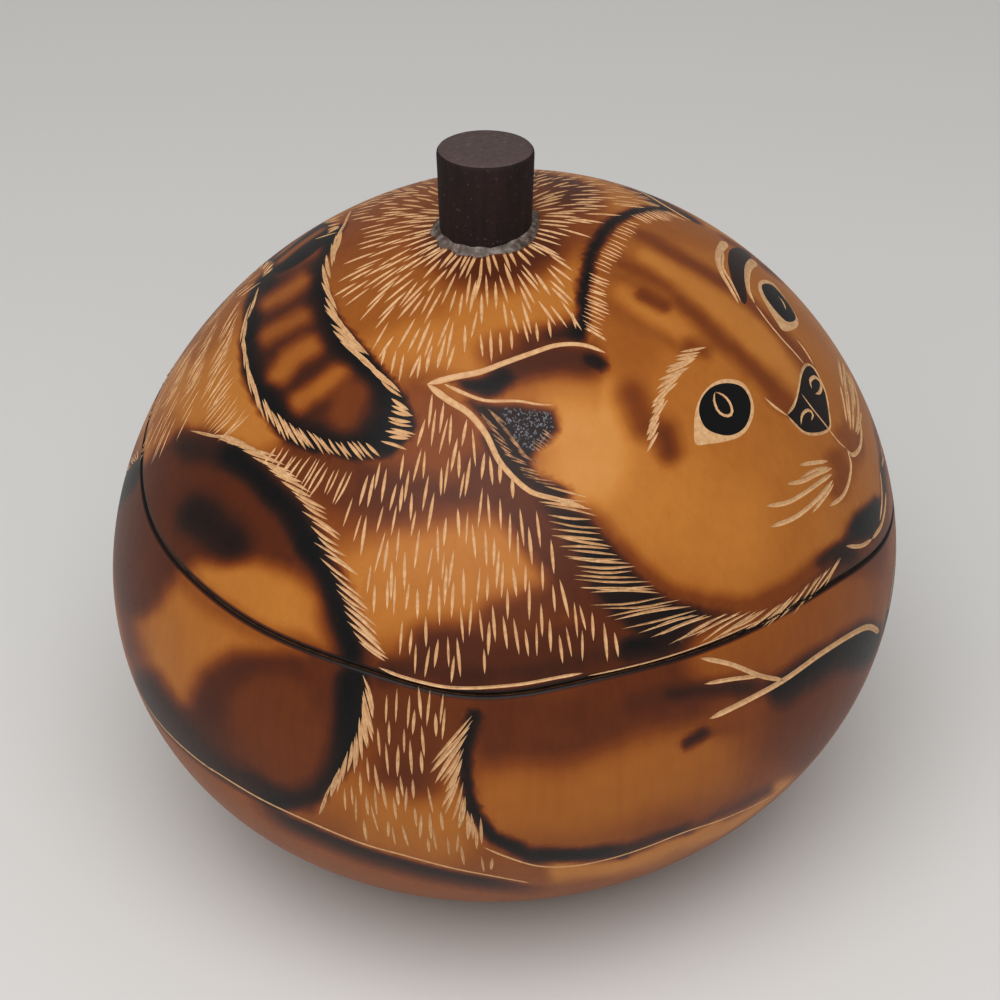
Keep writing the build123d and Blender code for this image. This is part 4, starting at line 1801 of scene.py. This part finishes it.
class NodeTree:
    """Small helper that adds shader nodes and links."""

    def __init__(self, tree: bpy.types.NodeTree) -> None:
        """Work on one node tree."""
        self.tree = tree

    def add(self, kind: str, **inputs: object) -> Node:
        """Add a node and set or link its inputs.

        Args:
            kind: the node's type.
            inputs: values or sockets by the input's name, with underscores for spaces.

        Returns:
            The new node.
        """
        node = self.tree.nodes.new(kind)
        for key, value in inputs.items():
            self.put(node, key.replace("_", " "), value)
        return node

    def put(self, node: Node, name: str | int, value: object) -> None:
        """Set an input, or link it when the value is a socket.

        Args:
            node: the node.
            name: the input's name or number.
            value: a constant or an output socket.
        """
        socket = node.inputs[name]
        if isinstance(value, Socket):
            self.tree.links.new(value, socket)
        else:
            socket.default_value = value

    def math(self, operation: str, a: Socket | float, b: Socket | float, clamp: bool = False) -> Socket:
        """Combine two values.

        Args:
            operation: the math node's operation.
            a: the first value.
            b: the second value.
            clamp: whether the result is held between 0 and 1.

        Returns:
            The result.
        """
        node = self.tree.nodes.new("ShaderNodeMath")
        node.operation = operation
        node.use_clamp = clamp
        self.put(node, 0, a)
        self.put(node, 1, b)
        return node.outputs[0]

    def swing(self, value: Socket, reach: float) -> Socket:
        """A value between 0 and 1 turned into a swing of some reach about zero."""
        return self.math("MULTIPLY", self.math("SUBTRACT", value, 0.5), reach)

    def mix(self, factor: Socket | float, a: Socket | Colour, b: Socket | Colour) -> Socket:
        """Mix two colours.

        Args:
            factor: share of the second colour.
            a: the first colour.
            b: the second colour.

        Returns:
            The mixed colour.
        """
        node = self.tree.nodes.new("ShaderNodeMix")
        node.data_type = "RGBA"
        self.put(node, "Factor", factor)
        colours = [socket for socket in node.inputs if socket.type == "RGBA"]
        for socket, value in zip(colours, (a, b)):
            if isinstance(value, Socket):
                self.tree.links.new(value, socket)
            else:
                socket.default_value = value
        return next(socket for socket in node.outputs if socket.type == "RGBA")

    def ramp(self, factor: Socket, stops: Stops) -> Socket:
        """Run a value along a ramp of colours.

        Args:
            factor: the value.
            stops: places on the ramp with their colours.

        Returns:
            The colour.
        """
        node = self.tree.nodes.new("ShaderNodeValToRGB")
        ramp = node.color_ramp
        while len(ramp.elements) < len(stops):
            ramp.elements.new(0.5)
        for element, (position, colour) in zip(ramp.elements, stops):
            element.position = position
            element.color = colour
        self.put(node, "Fac", factor)
        return node.outputs["Color"]

    def bump(self, shader: Node, height: Socket, strength: float, reach: float) -> None:
        """Roughen a shader's surface by a value that stands for height, up to a reach in metres."""
        node = self.add("ShaderNodeBump", Strength=strength, Distance=reach, Height=height)
        self.put(shader, "Normal", node.outputs[0])

    def grain(self, cells: float, detail: float, stretch: Place = (1, 1, 1)) -> Socket:
        """Place the shared grain.

        Args:
            cells: cells of the grain for each metre.
            detail: octaves of the grain.
            stretch: how much finer the grain runs along each axis.

        Returns:
            The grain's value at each place.
        """
        node = self.tree.nodes.new("ShaderNodeGroup")
        node.node_tree = grain_group()
        self.put(node, "Cells", cells)
        self.put(node, "Detail", detail)
        self.put(node, "Stretch", stretch)
        return node.outputs["Value"]


def grain_group() -> bpy.types.NodeTree:
    """The grain that all finishes share: noise in the piece's own space, built once.

    Returns:
        The node group.
    """
    name = "gourd_grain"
    if name in bpy.data.node_groups:
        return bpy.data.node_groups[name]
    group = bpy.data.node_groups.new(name, "ShaderNodeTree")
    for socket, way, kind in (("Cells", "INPUT", "Float"), ("Detail", "INPUT", "Float"),
                              ("Stretch", "INPUT", "Vector"), ("Value", "OUTPUT", "Float")):
        group.interface.new_socket(socket, in_out=way, socket_type=f"NodeSocket{kind}")
    tree = NodeTree(group)
    given = tree.add("NodeGroupInput").outputs
    place = tree.add("ShaderNodeTexCoord").outputs["Object"]
    mapping = tree.add("ShaderNodeMapping", Vector=place, Scale=given["Stretch"])
    cloud = tree.add("ShaderNodeTexNoise", Vector=mapping.outputs[0], Scale=given["Cells"],
                     Detail=given["Detail"], Roughness=0.6)
    tree.add("NodeGroupOutput", Value=cloud.outputs["Fac"])
    return group


@dataclass(frozen=True)
class Finish:
    """A procedural finish; each kind paints its own main shader."""
    name: str
    roughness: float

    def make(self) -> bpy.types.Material:
        """Build the material.

        Returns:
            The finished material.
        """
        material = bpy.data.materials.new(self.name)
        material.use_nodes = True
        shader = material.node_tree.nodes["Principled BSDF"]
        shader.inputs["Roughness"].default_value = self.roughness
        self.paint(NodeTree(material.node_tree), shader)
        return material

    def paint(self, tree: NodeTree, shader: Node) -> None:
        """Colour the shader; every kind of finish has its own way."""
        raise NotImplementedError(self.name)


@dataclass(frozen=True)
class Plain(Finish):
    """One even colour, for the stage alone."""
    colour: Colour

    def paint(self, tree: NodeTree, shader: Node) -> None:
        """Set the colour."""
        tree.put(shader, "Base Color", self.colour)


@dataclass(frozen=True)
class Grained(Finish):
    """Matter whose colour runs along a ramp with its grain."""
    cells: float
    detail: float
    stops: Stops
    relief: float = 0.0
    relief_height: float = 0.0002

    def paint(self, tree: NodeTree, shader: Node) -> None:
        """Lay the ramp over the grain, and roughen the surface where it has relief.

        Args:
            tree: the material's nodes.
            shader: its main shader.
        """
        grain = tree.grain(self.cells, self.detail)
        tree.put(shader, "Base Color", tree.ramp(grain, self.stops))
        if self.relief:
            tree.bump(shader, grain, self.relief, self.relief_height)


@dataclass(frozen=True)
class BurntSkin(Finish):
    """Gourd skin, burnt as deeply as its attribute says, under a thin satin varnish."""
    stops: Stops
    speck: Colour
    mottle: float = 0.10
    fibre: float = 0.06
    varnish: float = 0.05
    varnish_roughness: float = 0.22
    shine: float = 0.13
    pore_level: float = 0.68
    pore_share: float = 0.10
    grit: float = 0.14
    relief: float = 0.12
    relief_height: float = 0.0002

    def paint(self, tree: NodeTree, shader: Node) -> None:
        """Colour the skin by its burning, mottled and streaked, with dark pores.

        Args:
            tree: the material's nodes.
            shader: its main shader.
        """
        burn = tree.add("ShaderNodeAttribute")
        burn.attribute_name = BURN_LAYER
        fibre = tree.grain(cells=900, detail=3, stretch=(1, 1, 0.12))
        grit = tree.grain(cells=2600, detail=2)
        clouds = tree.grain(cells=130, detail=4)
        value = tree.math("ADD", burn.outputs["Fac"], tree.swing(clouds, self.mottle))
        value = tree.math("ADD", value, tree.swing(fibre, self.fibre), True)
        pores = tree.math("MULTIPLY", tree.math("GREATER_THAN", grit, self.pore_level), self.pore_share)
        tree.put(shader, "Base Color", tree.mix(pores, tree.ramp(value, self.stops), self.speck))
        rough = tree.math("ADD", self.roughness, tree.math("MULTIPLY", grit, self.grit))
        tree.put(shader, "Roughness", rough)
        tree.put(shader, "Coat Weight", self.varnish)
        tree.put(shader, "Coat Roughness", self.varnish_roughness)
        tree.put(shader, "Specular IOR Level", self.shine)
        tree.bump(shader, fibre, self.relief, self.relief_height)


@dataclass(frozen=True)
class RawPith(Finish):
    """Bare inside wall, cloudy and coarse."""
    broad: Stops
    fine: Stops
    fine_share: float = 0.35
    relief: float = 0.6
    relief_height: float = 0.0006

    def paint(self, tree: NodeTree, shader: Node) -> None:
        """Lay fine crumbs over broad clouds.

        Args:
            tree: the material's nodes.
            shader: its main shader.
        """
        crumbs = tree.grain(cells=1100, detail=4)
        clouds = tree.ramp(tree.grain(cells=160, detail=5), self.broad)
        tree.put(shader, "Base Color", tree.mix(self.fine_share, clouds, tree.ramp(crumbs, self.fine)))
        tree.bump(shader, crumbs, self.relief, self.relief_height)


@dataclass(frozen=True)
class StainedWood(Finish):
    """Dark stained wood, dusty, its end grain worn pale."""
    stops: Stops
    dust: Colour
    shine: float = 0.25
    top_facing: float = 0.7
    speck_level: float = 0.66
    speck_share: float = 0.2
    worn: float = 0.22
    worn_more: float = 0.3
    relief: float = 0.35
    relief_height: float = 0.0003

    def paint(self, tree: NodeTree, shader: Node) -> None:
        """Streak the sides, dust them and wear the top.

        Args:
            tree: the material's nodes.
            shader: its main shader.
        """
        dust = tree.grain(cells=1800, detail=3)
        colour = tree.ramp(tree.grain(cells=900, detail=4, stretch=(1, 1, 0.15)), self.stops)
        facing = tree.add("ShaderNodeSeparateXYZ", Vector=tree.add("ShaderNodeNewGeometry").outputs["Normal"])
        top = tree.math("GREATER_THAN", facing.outputs["Z"], self.top_facing)
        speck = tree.math("MULTIPLY", tree.math("GREATER_THAN", dust, self.speck_level), self.speck_share)
        wear = tree.math("ADD", self.worn, tree.math("MULTIPLY", dust, self.worn_more))
        worn = tree.math("MULTIPLY", top, wear)
        tree.put(shader, "Base Color", tree.mix(tree.math("ADD", speck, worn, True), colour, self.dust))
        tree.put(shader, "Specular IOR Level", self.shine)
        tree.bump(shader, dust, self.relief, self.relief_height)


SHELL_FINISHES: dict[Slot, Finish] = {
    Slot.SKIN: BurntSkin("gourd_skin", 0.38, (
        (0.0, rgb(206, 146, 82)), (0.18, rgb(187, 119, 49)), (0.34, rgb(155, 88, 29)),
        (0.5, rgb(119, 57, 16)), (0.66, rgb(80, 34, 13)), (0.82, rgb(40, 20, 13)),
        (0.97, rgb(10, 9, 10))), rgb(70, 36, 18)),
    Slot.CUT: Grained("cut_flesh", 0.6, 1500, 3, (
        (0.25, rgb(186, 134, 88)), (0.75, rgb(220, 178, 128))), 0.3),
    Slot.SAWN: Grained("sawn_edge", 0.75, 700, 4, ((0.3, rgb(58, 34, 22)), (0.7, rgb(128, 84, 50)))),
    Slot.PITH: RawPith("raw_pith", 0.85, ((0.3, rgb(176, 134, 88)), (0.7, rgb(222, 186, 138))),
                       ((0.3, rgb(150, 108, 68)), (0.7, rgb(230, 200, 156)))),
    Slot.SCRATCH: Grained("burnt_scratch", 0.5, 1400, 3, (
        (0.35, rgb(104, 66, 40)), (0.65, rgb(180, 128, 82)))),
    Slot.ASH: Grained("grey_char", 0.35, 2400, 2, ((0.35, rgb(44, 42, 46)), (0.65, rgb(108, 106, 114)))),
}
KNOB_WOOD = StainedWood("knob_wood", 0.8, ((0.3, rgb(20, 9, 9)), (0.7, rgb(38, 21, 20))), rgb(118, 100, 98))
DRIED_GLUE = Grained("dried_glue", 0.5, 900, 3, (
    (0.36, rgb(48, 31, 22)), (0.5, rgb(80, 65, 57)), (0.66, rgb(126, 114, 106))))
PALE_FLOOR = Plain("pale_floor", 0.7, rgb(222, 221, 219))


def crown_height(form: GourdForm, x: float, y: float) -> float:
    """Height of the skin over a point near the crown."""
    return float(form.skin(form.flat(np.array([[x, y, OVER_CROWN]])))[0][0, 2])


@dataclass
class Knob:
    """Turned wooden knob, a little tapered, its top cut aslant; sizes in millimetres."""
    form: GourdForm
    foot_radius: float = 5.4
    top_radius: float = 5.68
    height: float = 9.7
    below_wall: float = 0.8
    slant: float = 2.6
    slant_toward: float = 19.0
    dent: float = 0.05
    dent_cells: float = 0.45
    dent_radius: float = 5.5
    sides: int = 72
    foot_edge: float = 0.3
    # Steps out and up along the side, in and down over the rounded top edge, then rings on the top
    swell: tuple[Span, ...] = ((0.1, 3.0), (0.2, 6.4))
    top_edge: tuple[Span, ...] = ((0.0, 0.75), (0.06, 0.4), (0.26, 0.12), (0.58, 0.0))
    top_rings: Span = (3.4, 1.7)
    # Radius of the ends beside the axis, which the spin leaves open, and reach of the weld that closes them
    axis_gap: float = 0.01
    weld: float = 0.02

    def build(self) -> Piece:
        """Make the knob by spinning its outline.

        Returns:
            The knob's piece.
        """
        x, y = self.form.sizes.knob
        crown = crown_height(self.form, x, y)
        low = crown - self.form.sizes.wall - self.below_wall
        top = crown + self.height
        foot = self.foot_radius
        rim = self.top_radius
        outline = [(self.axis_gap, low), (foot - self.foot_edge, low), (foot, low + self.foot_edge),
                   (foot, crown)]
        outline += [(foot + out, crown + up) for out, up in self.swell]
        outline += [(rim - back, top - down) for back, down in self.top_edge]
        outline += [(r, top) for r in (*self.top_rings, self.axis_gap)]
        bm = bmesh.new()
        chain = [bm.verts.new((r * MM, 0, z * MM)) for r, z in outline]
        edges = [bm.edges.new(pair) for pair in zip(chain[:-1], chain[1:])]
        bmesh.ops.spin(bm, geom=chain + edges, cent=(0, 0, 0), axis=(0, 0, 1), angle=2 * math.pi,
                       steps=self.sides, use_merge=True, use_duplicate=False)
        bmesh.ops.remove_doubles(bm, verts=bm.verts[:], dist=self.weld * MM)
        self._settle(bm, crown)
        bmesh.ops.translate(bm, verts=bm.verts[:], vec=Vector((x, y, 0)) * MM)
        for face in bm.faces:
            face.smooth = True
        return place_piece(bm, "turned_knob", "stem_knob", "lid")

    def dress(self, piece: Piece) -> None:
        """Give the knob its wood."""
        piece.data.materials.append(KNOB_WOOD.make())

    def _settle(self, bm: Shape, crown: float) -> None:
        """Tilt the top and dent the sides a little, as handwork does.

        Args:
            bm: the spun knob, round its own axis.
            crown: height of the skin it stands on.
        """
        tilt = math.tan(math.radians(self.slant))
        toward = math.radians(self.slant_toward)
        for v in bm.verts:
            lift = (v.co.z / MM - crown) / self.height
            if lift > 0:
                v.co.z -= tilt * lift * (v.co.x * math.cos(toward) + v.co.y * math.sin(toward))
                dent = noise.noise(v.co / MM * self.dent_cells) * self.dent * MM
                v.co.x += dent * v.co.x / (self.dent_radius * MM)
                v.co.y += dent * v.co.y / (self.dent_radius * MM)


@dataclass
class GlueBead:
    """Uneven ring of dried glue in the corner round the knob; sizes in millimetres."""
    form: GourdForm
    inner: float = 5.35
    outer: float = 6.6
    rows: tuple[Span, ...] = ((5.35, 0.5), (5.55, 0.4), (5.8, 0.26), (6.1, 0.12), (6.4, -0.06))
    sides: int = 96
    unevenness: float = 0.9
    lumps: float = 3.1

    def build(self) -> Piece:
        """Make the ring by extruding a loop row by row and laying it on the skin.

        Returns:
            The ring's piece.
        """
        x, y = self.form.sizes.knob
        bm = bmesh.new()
        angles = [2 * math.pi * k / self.sides for k in range(self.sides)]
        first = [bm.verts.new((0, 0, 0)) for _ in angles]
        edges = [bm.edges.new((first[k], first[(k + 1) % self.sides])) for k in range(self.sides)]
        rings = [first]
        for _ in self.rows[1:]:
            ring, edges, _ = extrude(bm, edges)
            rings.append(ring)
        for (radius, height), ring in zip(self.rows, rings):
            for a, vert in zip(angles, ring):
                around = Vector((math.cos(a), math.sin(a), 1))
                swell = 1 + self.unevenness * noise.noise(around * self.lumps)
                reach = min(self.inner + (radius - self.inner) * swell, self.outer)
                px = x + reach * math.cos(a)
                py = y + reach * math.sin(a)
                vert.co = Vector((px, py, crown_height(self.form, px, py) + height * swell)) * MM
        for face in bm.faces:
            face.smooth = True
        return place_piece(bm, "dried_glue_ring", "glue_bead", "lid")

    def dress(self, piece: Piece) -> None:
        """Give the ring its glue."""
        piece.data.materials.append(DRIED_GLUE.make())


@dataclass
class Studio:
    """Floor, light and camera; sizes in metres, light in watts."""
    floor_size: float = 3.0
    sky: Colour = (0.97, 0.96, 0.94, 1)
    sky_strength: float = 0.35
    window_place: Place = (-0.42, -0.05, 0.65)
    window_size: float = 0.7
    window_power: float = 3.4
    fill_lift: float = 0.25
    fill_size: float = 0.5
    fill_power: float = 1.0
    looked_at: Place = (0, 0, 0.045)
    film: float = 36.0
    nearest: float = 0.01

    def build(self, camera: PhotoCamera) -> None:
        """Set up a plain pale studio seen from where the picture was taken.

        Args:
            camera: the camera that took the picture.
        """
        scene = bpy.context.scene
        scene.view_settings.view_transform = "Standard"
        scene.view_settings.look = "None"
        self._floor()
        world = bpy.data.worlds.new("soft_sky")
        scene.world = world
        world.use_nodes = True
        sky = world.node_tree.nodes["Background"]
        sky.inputs["Color"].default_value = self.sky
        sky.inputs["Strength"].default_value = self.sky_strength
        place, _, _, forward = camera.axes()
        eye_place = Vector(place) * MM
        self._lamp("window", Vector(self.window_place), self.window_size, self.window_power)
        self._lamp("fill", eye_place + Vector((0, 0, self.fill_lift)), self.fill_size, self.fill_power)
        lens = bpy.data.cameras.new("photo_camera")
        lens.sensor_width = self.film
        lens.lens = camera.focal / FRAME * self.film
        lens.shift_y = (camera.centre[1] - FRAME / 2) / FRAME
        lens.clip_start = self.nearest
        lens.dof.use_dof = False
        eye = bpy.data.objects.new("photo_camera", lens)
        eye.location = eye_place
        eye.rotation_euler = Vector(forward).to_track_quat("-Z", "Y").to_euler()
        scene.collection.objects.link(eye)
        scene.camera = eye

    def _floor(self) -> None:
        """Lay the floor."""
        bm = bmesh.new()
        bmesh.ops.create_grid(bm, x_segments=1, y_segments=1, size=self.floor_size)
        data = bpy.data.meshes.new("floor")
        bm.to_mesh(data)
        bm.free()
        floor = bpy.data.objects.new("floor", data)
        data.materials.append(PALE_FLOOR.make())
        bpy.context.scene.collection.objects.link(floor)

    def _lamp(self, name: str, where: Vector, size: float, power: float) -> None:
        """Hang a soft square lamp that looks at the gourd.

        Args:
            name: the lamp's name.
            where: its place.
            size: length of its side.
            power: its power.
        """
        light = bpy.data.lights.new(name, "AREA")
        light.size = size
        light.energy = power
        lamp = bpy.data.objects.new(name, light)
        lamp.location = where
        lamp.rotation_euler = (Vector(self.looked_at) - where).to_track_quat("-Z", "Y").to_euler()
        bpy.context.scene.collection.objects.link(lamp)


def main() -> None:
    """Build the gourd and its stage."""
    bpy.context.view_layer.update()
    form = GourdForm(GourdSizes())
    carver = Carver(form)
    carver.layout()
    skin = SkinBuilder(form, carver).build(GROUND_SPACING)
    finishes = [SHELL_FINISHES[slot].make() for slot in Slot]
    for half in Half:
        shell = CarvedShell(form, carver, skin, half)
        shell.dress(shell.build(), finishes)
    for small in (Knob(form), GlueBead(form)):
        small.dress(small.build())
    Studio().build(form.camera)


if __name__ == "__main__":
    main()
